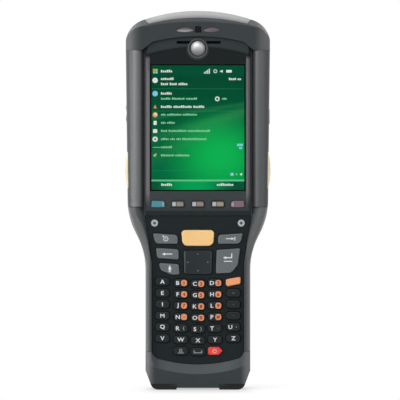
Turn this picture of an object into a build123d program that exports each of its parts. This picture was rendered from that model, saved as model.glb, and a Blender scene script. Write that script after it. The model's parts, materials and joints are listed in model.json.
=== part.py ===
from build123d import *
import math
import os

# Rugged key terminal, standing on its connector end. Millimetres.
# +Z runs up its length, the display and keys face -Y, +X is to the viewer's right.
# The origin is the middle of the footprint, on the surface it stands on.

# ---------------------------------------------------------------- depths along Y
RAIL_Y = -25.4  # crest of the rails beside the display
GRIP_Y = -22.6  # front of the grip beside the keypad
CAP_Y = -23.4  # front of the bottom cap
REAR_Y = 25.4  # back of the head
GRIP_REAR_Y = 14.5  # back of the grip and of the battery
HEEL_REAR_Y = REAR_Y - 4.4  # back of the heel that holds the strap clip
PARTING_Y = -2.0  # where the front and rear housings meet
FRAME_BACK_Y = -13.6  # back of the mid frame moulded into the front housing
RAIL_BACK_Y = -7.5  # back edge of the side rails
BEZEL_Y = -23.6
BEZEL_BACK_Y = -19.6
PLATE_Y = -20.6  # face of the keypad frame
PLATE_T = 2.0
BAY_Y = 4.0  # floor of the battery bay
BAY_WALL = 2.2
BOARD_Y = -9.0
BOARD_T = 1.4

# ---------------------------------------------------------------- clearances and walls
WALL = 2.4
RAIL_WALL = 1.6  # frame between a side rail and the electronics
SHUT = 0.15  # shut line between two fixed mouldings
PLAY = 0.25  # running gap round a key, a trigger or the battery
SEAT = 0.2  # gap between a captive part and its seat

# ---------------------------------------------------------------- widths
DISPLAY_W = 59.0
STRIP_W = 2.7  # bezel beside the display
CHANNEL_W = 1.3  # groove between the bezel and a rail
RAIL_W = 10.95
HEAD_TAPER = 1.1  # the head narrows by this on each side towards the shoulder
BEZEL_HALF = DISPLAY_W / 2 + STRIP_W
RAIL_INNER = BEZEL_HALF + CHANNEL_W
HEAD_HALF = RAIL_INNER + RAIL_W
SHOULDER_HALF = HEAD_HALF - HEAD_TAPER
KEY_W = 8.7
KEY_H = 5.0
KEY_R = 1.9
INNER_GAP = 1.85  # between the middle column and its neighbours
OUTER_GAP = 2.6  # between the outer columns and their neighbours
INNER_COLUMN = KEY_W + INNER_GAP
OUTER_COLUMN = INNER_COLUMN + KEY_W + OUTER_GAP
PLATE_MARGIN = 2.2  # keypad frame outside the outer keys
PLATE_FLARE = (1.6, 4.5)  # how much wider the frame is beside the scan key and at its top
PLATE_HALF = OUTER_COLUMN + KEY_W / 2 + PLATE_MARGIN
GRIP_RAIL_W = 3.9
GRIP_HALF = PLATE_HALF + GRIP_RAIL_W
WELL_INSET = 1.3  # ledge that the keypad frame rests on

# ---------------------------------------------------------------- heights
FOOT_T = 1.1
FOOT_TOP = 3.4
CHEEK_Z = 11.0  # where the sides start to turn in towards the feet
FLOOR_Z = 14.0  # bottom of the electronics' room
PLATE_END_Z = 15.6  # lowest point of the keypad frame
PLATE_SAG = 4.8  # rise of the frame's round end
FACET_H = 5.9  # facet below the keypad frame
CAP_Z = 23.5  # seam of the bottom cap
FIRST_ROW_Z = 23.3
ROW_PITCH = 6.98
ALPHA_ROWS = 6
TOP_ROW_Z = FIRST_ROW_Z + ALPHA_ROWS * ROW_PITCH
NAV_Z = TOP_ROW_Z + 13.3
SCAN_Z = NAV_Z + 14.95
SCREW_Z = SCAN_Z + 9.15
PLATE_TOP_Z = SCREW_Z + 4.3
HEAD_Z = SCREW_Z + 9.3  # lower edge of the display bezel's face
FUNCTION_Z = HEAD_Z + 2.4
DISPLAY_Z = FUNCTION_Z + 8.0
DISPLAY_H = 78.2
DISPLAY_TOP_Z = DISPLAY_Z + DISPLAY_H
COVER_Z = DISPLAY_TOP_Z + 8.5  # side seam of the top cover
BADGE_Z = DISPLAY_TOP_Z + 9.7
ARCH_Z = DISPLAY_TOP_Z + 16.9  # crown of the seam above the display
LIGHT_Z = DISPLAY_TOP_Z + 20.9
BROW_Z = DISPLAY_TOP_Z + 28.1  # lower edge of the facet along the top
TOP_Z = DISPLAY_TOP_Z + 33.0
SHOULDER_Z = NAV_Z - 4.5  # the grip starts to widen
SHOULDER_TOP_Z = FUNCTION_Z + 2.7
FRONT_RISE_Z = (SCREW_Z - 4.6, HEAD_Z + 2.0)  # the front steps up from the grip to the head
RAIL_END_Z = HEAD_Z + 0.6
BATTERY_Z = CAP_Z + 8.7
BATTERY_TOP_Z = DISPLAY_Z - 0.3
BULGE_Z = BATTERY_TOP_Z + 6.0  # where the back starts to rise into the head
BULGE_TOP_Z = DISPLAY_TOP_Z - 28.5
STRAP_PIN_Z = BULGE_Z + 0.7 * (BULGE_TOP_Z - BULGE_Z)
CAMERA_Z = COVER_Z - 10.0
SPEAKER_Z = STRAP_PIN_Z + 20.7
BOARD_Z = (FLOOR_Z + 1.0, LIGHT_Z + 0.6)

# ---------------------------------------------------------------- corner radii
TOP_ARC_R = 104.0
TOP_CORNER_R = 15.5
TOE_R = 5.0
CHEEK_R = 8.0
GRIP_FRONT_R = 3.4
HEAD_FRONT_R = 5.5
GRIP_REAR_R = 10.5
HEAD_REAR_R = 12.0

# ---------------------------------------------------------------- moving parts
KEY_TRAVEL = 0.6
KEY_PROUD = 1.4
FLANGE_T = 0.6
FLANGE_RIM = 0.55  # how far a key's flange reaches under the frame
FLANGE_Y = PLATE_Y + PLATE_T + SEAT
MAT_Y = FLANGE_Y + FLANGE_T + KEY_TRAVEL + SEAT
MAT_T = 0.8
KEYBOARD_T = 1.0
TRIGGER_H = 22.1
TRIGGER_Z = DISPLAY_Z + 13.0
TRIGGER_Y = (-22.0, -9.5)
TRIGGER_CROWN = 0.25  # how far a trigger stands outside the head
TRIGGER_TRAVEL = 1.2
TRIGGER_BASE_X = HEAD_HALF - 3.5
ROCKER_H = 11.0
ROCKER_Z = DISPLAY_TOP_Z - 30.0
ROCKER_Y = (-19.0, -12.0)
ROCKER_BASE_X = HEAD_HALF - 2.9
SIDE_BUTTON_Z = (ROCKER_Z - 7.1, ROCKER_Z + 2.7)
STRAP_W = 42.0
STRAP_T = 2.5
STRAP_Y = REAR_Y - 3.4  # inner face of the hand strap
STRAP_PIN_R = 1.5
STRAP_PIN_Y = REAR_Y - 5.9
BATTERY_HALF = GRIP_HALF - 7.3
LATCH_TRAVEL = 1.8
LATCH_H = 12.0
LATCH_Z = BATTERY_TOP_Z - LATCH_H
SCOOP_R = 9.5  # finger scoops beside the latches


# ---------------------------------------------------------------- helpers
def polygon(points, radii=0.0):
    """Closed flat shape through the points, with rounded corners."""
    if not isinstance(radii, (int, float)):
        radii = list(radii)
    return make_face(FilletPolyline(*points, radius=radii, close=True).edges())


def front_prism(shape, y_front, y_back):
    """A shape drawn in x and z, made solid between two depths."""
    return extrude(Plane.XZ.offset(-y_back) * shape, amount=y_back - y_front, dir=(0, -1, 0))


def side_prism(shape, x_low, x_high):
    """A shape drawn in y and z, made solid between two widths."""
    return extrude(Plane.YZ.offset(x_low) * shape, amount=x_high - x_low, dir=(1, 0, 0))


def block(x, y, z):
    """A box between three pairs of limits."""
    size = [high - low for low, high in (x, y, z)]
    centre = [(low + high) / 2 for low, high in (x, y, z)]
    return Pos(*centre) * Box(*size)


def disc(x, z, radius, y_front, y_back):
    """A round bar that runs in depth."""
    return front_prism(Pos(x, z) * Circle(radius), y_front, y_back)


def step(z, z_low, z_high, low, high):
    """A value that changes from low to high on two equal tangent arcs."""
    if z <= z_low:
        return low
    if z >= z_high:
        return high
    rise = z_high - z_low
    run = high - low
    turn = 2 * math.atan2(abs(run), rise)
    radius = rise / math.sin(turn) / 2
    way = math.copysign(1, run)
    if z < z_low + rise / 2:
        return low + way * (radius - math.sqrt(radius**2 - (z - z_low) ** 2))
    return high - way * (radius - math.sqrt(radius**2 - (z_high - z) ** 2))


# ---------------------------------------------------------------- outer form
def half_width(z):
    """Half the width of the body at a height."""
    if z <= SHOULDER_TOP_Z:
        return step(z, SHOULDER_Z, SHOULDER_TOP_Z, GRIP_HALF, SHOULDER_HALF)
    share = min((z - SHOULDER_TOP_Z) / (COVER_Z - SHOULDER_TOP_Z), 1.0)
    return SHOULDER_HALF + HEAD_TAPER * share


def front_y(z):
    """Depth of the body's front at a height."""
    if z < CAP_Z:
        return step(z, CAP_Z - 12.0, CAP_Z, CAP_Y, GRIP_Y)
    return step(z, *FRONT_RISE_Z, GRIP_Y, RAIL_Y)


def rear_y(z):
    """Depth of the body's back at a height."""
    if z < BATTERY_Z + 10:
        return step(z, CAP_Z - 1.5, BATTERY_Z, HEEL_REAR_Y, GRIP_REAR_Y)
    return step(z, BULGE_Z, BULGE_TOP_Z, GRIP_REAR_Y, REAR_Y)


def body_section(z, inset):
    """Rounded cross-section of the body at a height, drawn in x and y."""
    half = half_width(z) - inset
    front = front_y(z) + inset
    rear = rear_y(z) - inset
    front_r = step(z, SHOULDER_Z, SHOULDER_TOP_Z, GRIP_FRONT_R, HEAD_FRONT_R) - inset
    rear_r = step(z, SHOULDER_Z, SHOULDER_TOP_Z, GRIP_REAR_R, HEAD_REAR_R) - inset
    corners = [(-half, front), (half, front), (half, rear), (-half, rear)]
    return Plane.XY.offset(z) * polygon(corners, [front_r, front_r, rear_r, rear_r])


# Bands of the body and how many stretches each is lofted in; one stretch is a straight prism.
BANDS = (
    (-1.0, CAP_Z - 12.0, 1),
    (CAP_Z - 12.0, BATTERY_Z, 6),
    (BATTERY_Z, SHOULDER_Z, 1),
    (SHOULDER_Z, SHOULDER_TOP_Z, 10),
    (SHOULDER_TOP_Z, BULGE_Z, 1),
    (BULGE_Z, BULGE_TOP_Z, 8),
    (BULGE_TOP_Z, COVER_Z, 1),
    (COVER_Z, TOP_Z + 6.0, 1),
)


def s_curve(x_low, z_low, x_high, z_high):
    """Two equal tangent arcs that widen the right-hand side of the outline."""
    turn = 2 * math.atan2(x_high - x_low, z_high - z_low)
    radius = (z_high - z_low) / math.sin(turn) / 2
    first = JernArc((x_low, z_low), (0, 1), radius, -math.degrees(turn))
    second = JernArc(first @ 1, first % 1, radius, math.degrees(turn))
    return first.edges() + second.edges()


def front_outline(inset=0.0, shouldered=False):
    """The body as seen from the front, with or without the shoulders on its sides."""
    top = TOP_Z - inset
    half = HEAD_HALF + 0.15 - inset
    hip = top - (TOP_ARC_R - math.sqrt(TOP_ARC_R**2 - half**2))
    toe = (GRIP_HALF - 4.5 - inset, inset)
    cheek = (GRIP_HALF - 0.4 - inset, CHEEK_Z)
    if shouldered:
        grip = GRIP_HALF - inset
        head = SHOULDER_HALF - inset
        sides = Polyline((0, inset), toe, cheek, (grip, CAP_Z), (grip, SHOULDER_Z)).edges()
        sides += s_curve(grip, SHOULDER_Z, head, SHOULDER_TOP_Z)
        sides += Line((head, SHOULDER_TOP_Z), (half, hip)).edges()
    else:
        sides = Polyline((0, inset), toe, cheek, (half, BATTERY_Z), (half, hip)).edges()
    arc = ThreePointArc((half, hip), (0, top), (-half, hip)).edges()
    shape = make_face(sides + [edge.mirror(Plane.YZ) for edge in sides] + arc)
    top_corners = [v for v in shape.vertices() if v.Y > COVER_Z and abs(v.X) > 1]
    shape = fillet(top_corners, TOP_CORNER_R - inset)
    cheeks = [v for v in shape.vertices() if abs(v.Y - CHEEK_Z) < 0.5]
    shape = fillet(cheeks, CHEEK_R)
    toes = [v for v in shape.vertices() if v.Y < inset + 0.5 and abs(v.X) > 1]
    return fillet(toes, TOE_R - inset)


def slope_z(y):
    """Height of the sloping top face at a depth."""
    return TOP_Z + 0.4 - (y + 17.5) * 0.3625


def side_outline(inset=0.0):
    """Top and bottom of the body as seen from the side; its front and back lie outside the body."""
    crest = REAR_Y - 3.4 - inset
    back = REAR_Y + 1 - inset
    points = [(-40, slope_z(-40) - inset), (-40, inset), (40, inset), (40, BULGE_TOP_Z)]
    points += [(back, BULGE_TOP_Z), (back, COVER_Z + 1), (crest, slope_z(crest) - inset)]
    return polygon(points, [0, 0, 0, 0, 0, 12, 6])


def body_form(inset=0.0):
    """The whole outer form, or the same form set in by a wall."""
    form = Part()
    for low, high, count in BANDS:
        heights = [low + (high - low) * i / count for i in range(count + 1)]
        form = form + loft([body_section(z, inset) for z in heights])
    form = form & front_prism(front_outline(inset), -40, 40)
    return form & side_prism(side_outline(inset), -60, 60)


def above_arch(gap=0.0):
    """Everything above the seam between the display bezel and the top cover."""
    low = COVER_Z + gap
    crown = ARCH_Z + gap
    hip = (BEZEL_HALF - 4.3, crown - 3.4)
    right = Polyline(hip, (RAIL_INNER + 0.8, low), (60, low), (60, TOP_Z + 20), (0, TOP_Z + 20)).edges()
    arc = ThreePointArc(hip, (0, crown), (-hip[0], hip[1])).edges()
    return make_face(right + [edge.mirror(Plane.YZ) for edge in right] + arc)


def keypad_outline(grow=0.0):
    """The keypad frame: wide below the head, parallel beside the letters, round at the bottom."""
    half = PLATE_HALF + grow
    top = PLATE_TOP_Z + grow
    low = PLATE_END_Z - grow
    corner = low + PLATE_SAG
    flare = [(half + PLATE_FLARE[1], top), (half + PLATE_FLARE[0], SCAN_Z - 1.5), (half, NAV_Z)]
    right = Polyline((0, top), *flare, (half, corner)).edges()
    arc = ThreePointArc((half, corner), (0, low), (-half, corner)).edges()
    shape = make_face(right + [edge.mirror(Plane.YZ) for edge in right] + arc)
    corners = [v for v in shape.vertices() if abs(v.Y - corner) < 0.01]
    return fillet(corners, max(6.0 + grow, 1.0))


def slanted(y_low, y_high, x_half, lift_low, lift_high):
    """A block that lies along the sloping top face, between two lifts from it."""
    corners = [(y_low, slope_z(y_low) + lift_low), (y_high, slope_z(y_high) + lift_low)]
    corners += [(y_high, slope_z(y_high) + lift_high), (y_low, slope_z(y_low) + lift_high)]
    return side_prism(polygon(corners), -x_half, x_half)


# ---------------------------------------------------------------- hollows
BROW_DEEP = 8.0  # how far back the facet along the top reaches
TOP_STRIP_T = 0.65
SCAN_WINDOW_Y = (-10.0, 6.0)
SCAN_WINDOW_HALF = 22.0
SCAN_WINDOW_T = 1.5
SCAN_WINDOW_DEEP = 0.7  # how far the glass lies below the cover
FOOT_INNER = 13.2  # half the gap between the feet
STRAP_SLOT_HALF = STRAP_W / 2 + 0.6
STRAP_SLOT_Z = (STRAP_PIN_Z - 10.0, STRAP_PIN_Z + 8.0)
STRAP_SLOT_Y = STRAP_PIN_Y - 4.6


def electronics_hollow():
    """Room for the boards and the scan engine, behind the mid frame."""
    bay = BAY_Y - BAY_WALL
    top = BATTERY_TOP_Z + 3.0
    walls = [(FRAME_BACK_Y, FLOOR_Z), (bay, FLOOR_Z), (bay, top)]
    walls += [(REAR_Y, top), (REAR_Y, TOP_Z), (FRAME_BACK_Y, TOP_Z)]
    room = body_form(WALL) & side_prism(polygon(walls), -60, 60)
    for side in (-1, 1):
        low, high = sorted((side * (RAIL_INNER - RAIL_WALL), side * 60))
        room = room - block((low, high), (-40, RAIL_BACK_Y + RAIL_WALL), (SCREW_Z, TOP_Z))
    slot = (-STRAP_SLOT_HALF - WALL, STRAP_SLOT_HALF + WALL)
    return room - block(slot, (STRAP_SLOT_Y - WALL, 40), (STRAP_SLOT_Z[0] - WALL, STRAP_SLOT_Z[1] + WALL))


OUTER = body_form()
HOLLOW = electronics_hollow()


def keypad_openings():
    """Seat of the keypad frame, and the well behind it for the key flanges, mat and board."""
    seat = front_prism(keypad_outline(SHUT), -40, PLATE_Y + PLATE_T)
    well_top = SCAN_Z + 5.95
    well = front_prism(keypad_outline(-WELL_INSET), PLATE_Y + PLATE_T - 0.1, MAT_Y + MAT_T + KEYBOARD_T)
    gap = front_prism(keypad_outline(-6.0), MAT_Y, FRAME_BACK_Y + 1)
    low = block((-60, 60), (-40, 0), (0, well_top))
    return seat + (well & low) + (gap & block((-60, 60), (-40, 0), (0, well_top - 3)))


KEYPAD_CUT = keypad_openings()


# ---------------------------------------------------------------- housings
def rail_section():
    """Cross-section of a side rail, in x and y: its inner front edge is rolled over."""
    points = [(RAIL_INNER, RAIL_Y - 0.1), (RAIL_INNER, RAIL_BACK_Y), (60, RAIL_BACK_Y), (60, RAIL_Y - 0.1)]
    return polygon(points, [HEAD_FRONT_R, 0, 0, 0])


def rail_space(gap):
    """The space a right-hand rail fills, grown by a gap."""
    low = RAIL_END_Z - gap
    return block((RAIL_INNER, 60), (-40, RAIL_BACK_Y + gap), (low, COVER_Z))


def shoulder_shape(spread):
    """The space between the shoulders, from the letters up to the rails; its upper end is spread."""
    half = PLATE_HALF + SHUT
    top = RAIL_INNER + spread
    waist = half + PLATE_FLARE[0] + 0.4 * spread
    right = [(top, RAIL_END_Z), (top, PLATE_TOP_Z), (waist, SCAN_Z - 1.5), (half, NAV_Z)]
    return polygon(right + [(-x, z) for x, z in reversed(right)])


def shoulder_slope():
    """The slope that runs down from the rails to the keypad frame and fades out beside the letters."""
    low = Plane.XZ.offset(-RAIL_Y - HEAD_FRONT_R) * shoulder_shape(0.0)
    high = Plane.XZ.offset(-RAIL_Y + 0.3) * shoulder_shape(HEAD_FRONT_R)
    return loft([low, high], ruled=True)


def side_rail():
    """Right-hand rail, with the pocket that its trigger slides in."""
    bar = extrude(Plane.XY.offset(RAIL_END_Z + SHUT) * rail_section(), amount=COVER_Z - RAIL_END_Z - SHUT)
    trigger_low = TRIGGER_Z - TRIGGER_H / 2 - PLAY
    trigger_high = TRIGGER_Z + TRIGGER_H / 2 + PLAY
    pocket = block(
        (TRIGGER_BASE_X - TRIGGER_TRAVEL - SEAT, 60),
        (TRIGGER_Y[0] - PLAY, TRIGGER_Y[1] + PLAY),
        (trigger_low, trigger_high),
    )
    return (OUTER & bar) - pocket


def front_housing():
    """Front shell with the mid frame that carries the display, the keypad and the boards."""
    shell = OUTER & block((-60, 60), (-40, PARTING_Y), (CAP_Z, COVER_Z))
    bezel_seat = block((-RAIL_INNER, RAIL_INNER), (-40, BEZEL_BACK_Y), (PLATE_TOP_Z + SHUT, COVER_Z + 1))
    display_x = (-LCD_HALF - SEAT, LCD_HALF + SEAT)
    display_well = block(display_x, (-40, FRAME_BACK_Y + 1), (LCD_Z[0] - SEAT, LCD_Z[1] + SEAT))
    function_x = (-FUNCTION_WELL_HALF, FUNCTION_WELL_HALF)
    function_z = (FUNCTION_Z - FUNCTION_H / 2 - 1.1, FUNCTION_Z + FUNCTION_H / 2 + 1.1)
    function_well = block(function_x, (-40, FUNCTION_BACK_Y), function_z)
    shell = shell - bezel_seat - display_well - function_well - KEYPAD_CUT - HOLLOW
    right = rail_space(SHUT)
    shell = shell - right - right.mirror(Plane.YZ) - shoulder_slope()
    for x, z in KEYPAD_SCREWS:
        shell = shell - disc(x, z, SCREW_SHANK_R + 0.1, -40, FRAME_BACK_Y - 0.5)
    return shell


def rear_housing():
    """Back shell: battery bay, finger scoops, strap slot, camera and loudspeaker openings."""
    shell = OUTER & block((-60, 60), (PARTING_Y + SHUT, 40), (CAP_Z, COVER_Z))
    shell = shell - HOLLOW
    bay_low = BATTERY_Z - PLAY
    bay = [(BAY_Y, bay_low), (40, bay_low - 3.5), (40, BATTERY_TOP_Z + PLAY), (BAY_Y, BATTERY_TOP_Z + PLAY)]
    shell = shell - side_prism(polygon(bay), -BATTERY_HALF - PLAY, BATTERY_HALF + PLAY)
    for side in (-1, 1):
        shell = shell - Pos(side * (BATTERY_HALF + 5.5), GRIP_REAR_Y + 2.0, LATCH_Z) * Sphere(SCOOP_R)
    slot = (-STRAP_SLOT_HALF, STRAP_SLOT_HALF)
    shell = shell - block(slot, (STRAP_SLOT_Y, 40), STRAP_SLOT_Z)
    shell = shell - cross_bar(STRAP_PIN_R + 0.05, STRAP_PIN_LENGTH + 0.4)
    shell = shell - disc(0, CAMERA_Z, CAMERA_R + SHUT, REAR_Y - 10.4, 40)
    for i in range(SPEAKER_SLOTS):
        z = SPEAKER_Z + (i - (SPEAKER_SLOTS - 1) / 2) * SPEAKER_PITCH
        shell = shell - block((-8, 8), (REAR_Y - 7.4, 40), (z - 0.7, z + 0.7))
    for x, z in REAR_SCREWS:
        shell = shell - disc(x, z, SCREW_HEAD_R + SHUT, REAR_Y - 2.6, 40)
        shell = shell - disc(x, z, SCREW_SHANK_R + 0.1, REAR_Y - 9.0, 40)
    return shell


def top_cover():
    """Cap over the head, with the status lights, the scan opening and the receiver's pocket."""
    front = OUTER & front_prism(above_arch(SHUT), -40, BEZEL_BACK_Y + SHUT)
    back = OUTER & block((-60, 60), (BEZEL_BACK_Y + SHUT, 40), (COVER_Z + SHUT, TOP_Z + 1))
    cover = front + back - HOLLOW
    pocket_x = (-RECEIVER_HALF - 0.3, RECEIVER_HALF + 0.3)
    cover = cover - block(pocket_x, (-40, RECEIVER_BACK_Y + SEAT), (RECEIVER_Z - 2.7, RECEIVER_Z + 2.7))
    for lens in light_shapes(SHUT):
        cover = cover - front_prism(lens, -40, FRAME_BACK_Y + 1)
    cover = cover - front_prism(sensor_shape(SHUT), -40, FRAME_BACK_Y + 1)
    cover = cover - slanted(SCAN_WINDOW_Y[0], SCAN_WINDOW_Y[1], SCAN_WINDOW_HALF, -8.0, 2.0)
    return cover - brow_cut() - (front_prism(strip_shape(SHUT), -40, 0) & brow_cut(TOP_STRIP_T + 0.05))


def crown_shape(top, arc_r, corner_r):
    """The upper end of the body as seen from the front."""
    half = HEAD_HALF + 0.4
    hip = top - (arc_r - math.sqrt(arc_r**2 - half**2))
    right = Polyline((0, COVER_Z - 10), (half, COVER_Z - 10), (half, hip)).edges()
    arc = ThreePointArc((half, hip), (0, top), (-half, hip)).edges()
    shape = make_face(right + [edge.mirror(Plane.YZ) for edge in right] + arc)
    corners = [v for v in shape.vertices() if v.Y > COVER_Z and abs(v.X) > 1]
    return fillet(corners, corner_r)


def brow_cut(drop=0.0):
    """What the facet along the front of the cover takes off; it fades out round the corners."""
    low = crown_shape(BROW_Z, TOP_ARC_R + 22.0, TOP_CORNER_R - 2.5)
    high = crown_shape(TOP_Z + 0.3, TOP_ARC_R, TOP_CORNER_R)
    form = loft([Plane.XZ.offset(-RAIL_Y + 0.3) * low, Plane.XZ.offset(-RAIL_Y - BROW_DEEP) * high])
    zone = block((-60, 60), (RAIL_Y - 0.3, RAIL_Y + BROW_DEEP), (COVER_Z + 1, TOP_Z + 9))
    return zone - Pos(0, 0, -drop) * form


def strip_shape(grow=0.0):
    """Outline of the pale strip along the facet, with slanted ends."""
    low = BROW_Z + 0.4 - grow
    foot = (BEZEL_HALF - 1.9 + grow, low - 3.7)
    shoulder = (foot[0] + 3.2, low)
    right = Polyline(foot, shoulder, (shoulder[0], TOP_Z + 5), (0, TOP_Z + 5)).edges()
    arc = ThreePointArc(foot, (0, low), (-foot[0], foot[1])).edges()
    return make_face(right + [edge.mirror(Plane.YZ) for edge in right] + arc)


def top_strip():
    """Pale strip let into the facet along the top."""
    zone = front_prism(strip_shape(), -40, RAIL_Y + BROW_DEEP - 0.3)
    return (OUTER & zone & brow_cut(TOP_STRIP_T)) - brow_cut()


def bottom_cap():
    """Connector end: the sloping facet below the keypad, seats for the feet, the clip's recess."""
    cap = OUTER & block((-60, 60), (-40, 40), (0, CAP_Z - SHUT))
    cap = cap - HOLLOW - KEYPAD_CUT - keypad_facet()
    middle = FOOT_INNER - SHUT
    cap = cap - block((-60, 60), (-40, 40), (-1, FOOT_T))
    for side in (-1, 1):
        low, high = sorted((side * middle, side * 60))
        cap = cap - block((low, high), (-40, 40), (-1, FOOT_TOP + SHUT))
    x, y, z = CONTACT_BLOCK
    cap = cap - block((x[0] - SEAT, x[1] + SEAT), (y[0] - SEAT, y[1] + SEAT), (-1, z[1] + 0.7))
    clip_z = (CLIP_Z[0] - 0.6, CLIP_Z[1] + 0.6)
    return cap - block((-CLIP_HALF - PLAY, CLIP_HALF + PLAY), (CLIP_SEAT_Y, 40), clip_z)


def keypad_facet():
    """The facet between the keypad frame's round end and the front of the cap."""
    inner = keypad_outline(SHUT)
    outer = Pos(0, -FACET_H) * inner
    return loft([Plane.XZ.offset(-PLATE_Y) * inner, Plane.XZ.offset(-CAP_Y + 0.1) * outer])


def feet():
    """Two rubber skids that wrap the lower corners."""
    skids = []
    for side in (-1, 1):
        low, high = sorted((side * FOOT_INNER, side * 60))
        skids.append(OUTER & block((low, high), (-40, 40), (-1, FOOT_TOP)))
    return Compound(children=[s for skid in skids for s in skid.solids()])


# ---------------------------------------------------------------- display
LCD_HALF = DISPLAY_W / 2 + 1.4
LCD_Z = (DISPLAY_Z - 3.3, DISPLAY_TOP_Z + 3.5)
LCD_Y = (BEZEL_Y + 2.15, -16.0)
FUNCTION_W = 8.0
FUNCTION_H = 4.0
FUNCTION_PITCH = (DISPLAY_W - 9.6) / 4
FUNCTION_WELL_HALF = 2 * FUNCTION_PITCH + FUNCTION_W / 2 + 1.9
FUNCTION_FLANGE_Y = BEZEL_BACK_Y + SEAT
FUNCTION_BACK_Y = FUNCTION_FLANGE_Y + FLANGE_T + KEY_TRAVEL + SEAT
BADGE_R = 4.45
BADGE_RIM_R = 6.4
RECEIVER_Z = DISPLAY_TOP_Z + 13.4
RECEIVER_BACK_Y = -15.8
RECEIVER_HALF = 14.7
RECEIVER_SLOTS = ((-13.1, -4.2), (5.2, 14.1))


def function_shape(index, grow=0.0, square=False):
    """Outline of one function key; the outer two flare towards the middle."""
    half = FUNCTION_W / 2
    tall = FUNCTION_H / 2
    flare_left = 0.7 if index == 4 else 0.0
    flare_right = 0.7 if index == 0 else 0.0
    corners = [(0.4 - half, tall), (half - 0.4, tall)]
    corners += [(half + flare_right, -tall), (-half - flare_left, -tall)]
    shape = polygon(corners, 0.0 if square else 0.8)
    if grow:
        shape = offset(shape, grow, kind=Kind.INTERSECTION if square else Kind.ARC)
    return Pos((index - 2) * FUNCTION_PITCH, FUNCTION_Z) * shape


def display_bezel():
    """Bezel round the window, with the brow above it and the row of function keys below."""
    low = PLATE_TOP_Z + 2 * SHUT
    face = Pos(0, (low + TOP_Z) / 2) * Rectangle(2 * BEZEL_HALF, TOP_Z - low)
    bezel = front_prism(face - above_arch(), BEZEL_Y, BEZEL_BACK_Y)
    slope = [(BEZEL_Y - 1, HEAD_Z + 0.5), (BEZEL_Y, HEAD_Z), (PLATE_Y, low)]
    slope += [(PLATE_Y, low - 5), (BEZEL_Y - 1, low - 5)]
    bezel = bezel - side_prism(polygon(slope), -60, 60)
    bezel = chamfer(bezel.edges().filter_by(Axis.Z).group_by(Axis.Y)[0], 1.2)
    side = BEZEL_HALF - 1.4
    foot = DISPLAY_TOP_Z - 4
    arc = ThreePointArc((-side, foot + 9.2), (0, foot + 15.1), (side, foot + 9.2))
    brow = make_face(arc.edges() + Polyline(arc @ 1, (side, foot), (-side, foot), arc @ 0).edges())
    bezel = bezel - front_prism(brow, -40, BEZEL_Y + 0.5)
    bezel = bezel + disc(0, BADGE_Z, BADGE_RIM_R, BEZEL_Y - 0.4, BEZEL_Y + 1.5)
    bezel = bezel - disc(0, BADGE_Z, BADGE_R + SHUT, -40, BEZEL_Y + 0.8)
    bezel = bezel - block((-DISPLAY_W / 2, DISPLAY_W / 2), (-40, -10), (DISPLAY_Z, DISPLAY_TOP_Z))
    module_x = (-LCD_HALF - SEAT, LCD_HALF + SEAT)
    bezel = bezel - block(module_x, (LCD_Y[0] - SHUT, -10), (LCD_Z[0] - SEAT, LCD_Z[1] + SEAT))
    for index in range(5):
        bezel = bezel - front_prism(function_shape(index, PLAY), -40, -10)
    for slot in RECEIVER_SLOTS:
        bezel = bezel - block(slot, (-40, -10), (RECEIVER_Z - 0.9, RECEIVER_Z + 0.9))
    return bezel


def touch_panel():
    """Glass of the display, just below the bezel's face."""
    half = DISPLAY_W / 2 - SHUT
    return block((-half, half), (BEZEL_Y + 0.9, LCD_Y[0]), (DISPLAY_Z + SHUT, DISPLAY_TOP_Z - SHUT))


def lcd_module():
    """Display module in its tray."""
    return block((-LCD_HALF, LCD_HALF), LCD_Y, LCD_Z)


def badge_dome():
    """Plain domed disc above the display."""
    rise = 0.9
    ball_r = (BADGE_R**2 + rise**2) / (2 * rise)
    rim_y = BEZEL_Y - 0.1
    dome = disc(0, BADGE_Z, BADGE_R, rim_y - rise, rim_y)
    ball = Pos(0, rim_y - rise + ball_r, BADGE_Z) * Sphere(ball_r)
    return (dome & ball) + disc(0, BADGE_Z, BADGE_R, rim_y, BEZEL_Y + 0.8)


def receiver():
    """Earpiece capsule behind the two slots."""
    z = (RECEIVER_Z - 2.4, RECEIVER_Z + 2.4)
    return block((-RECEIVER_HALF, RECEIVER_HALF), (BEZEL_BACK_Y + 0.05, RECEIVER_BACK_Y), z)


def light_shapes(grow=0.0):
    """Two eye-shaped status lights in the cover."""
    shapes = []
    for x_low, x_high in ((-13.2, -2.6), (3.2, 14.0)):
        middle = (x_low + x_high) / 2
        upper = ThreePointArc((x_low, LIGHT_Z - 0.5), (middle, LIGHT_Z + 1.5), (x_high, LIGHT_Z - 0.2))
        lower = ThreePointArc((x_high, LIGHT_Z - 0.2), (middle, LIGHT_Z - 1.2), (x_low, LIGHT_Z - 0.5))
        shape = make_face(upper.edges() + lower.edges())
        shapes.append(offset(shape, grow) if grow else shape)
    return shapes


def sensor_shape(grow=0.0):
    """Square window of the light sensor between the lights."""
    side = 3.6 + 2 * grow
    return Pos(0.2, LIGHT_Z + 0.4) * Rectangle(side, side)


def light_pipes():
    """Clear bars that carry the light of the board's lamps to the front."""
    bars = [front_prism(lens, RAIL_Y + 0.1, BOARD_Y - SEAT) for lens in light_shapes()]
    return Compound(children=[s for bar in bars for s in bar.solids()])


def light_sensor():
    return front_prism(sensor_shape(), RAIL_Y + 0.3, BOARD_Y - SEAT)


# ---------------------------------------------------------------- keypad
KEYPAD_SCREWS = ((1.7 - PLATE_HALF, SCREW_Z), (PLATE_HALF - 1.7, SCREW_Z))
SCREW_HEAD_R = 2.15
SCREW_SHANK_R = 1.1
COLUMNS = (-OUTER_COLUMN, -INNER_COLUMN, 0.0, INNER_COLUMN, OUTER_COLUMN)
COLUMN_LIFT = (1.3, 0.5, 0.0, 0.5, 1.3)  # the outer columns sit higher, so each row smiles

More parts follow.
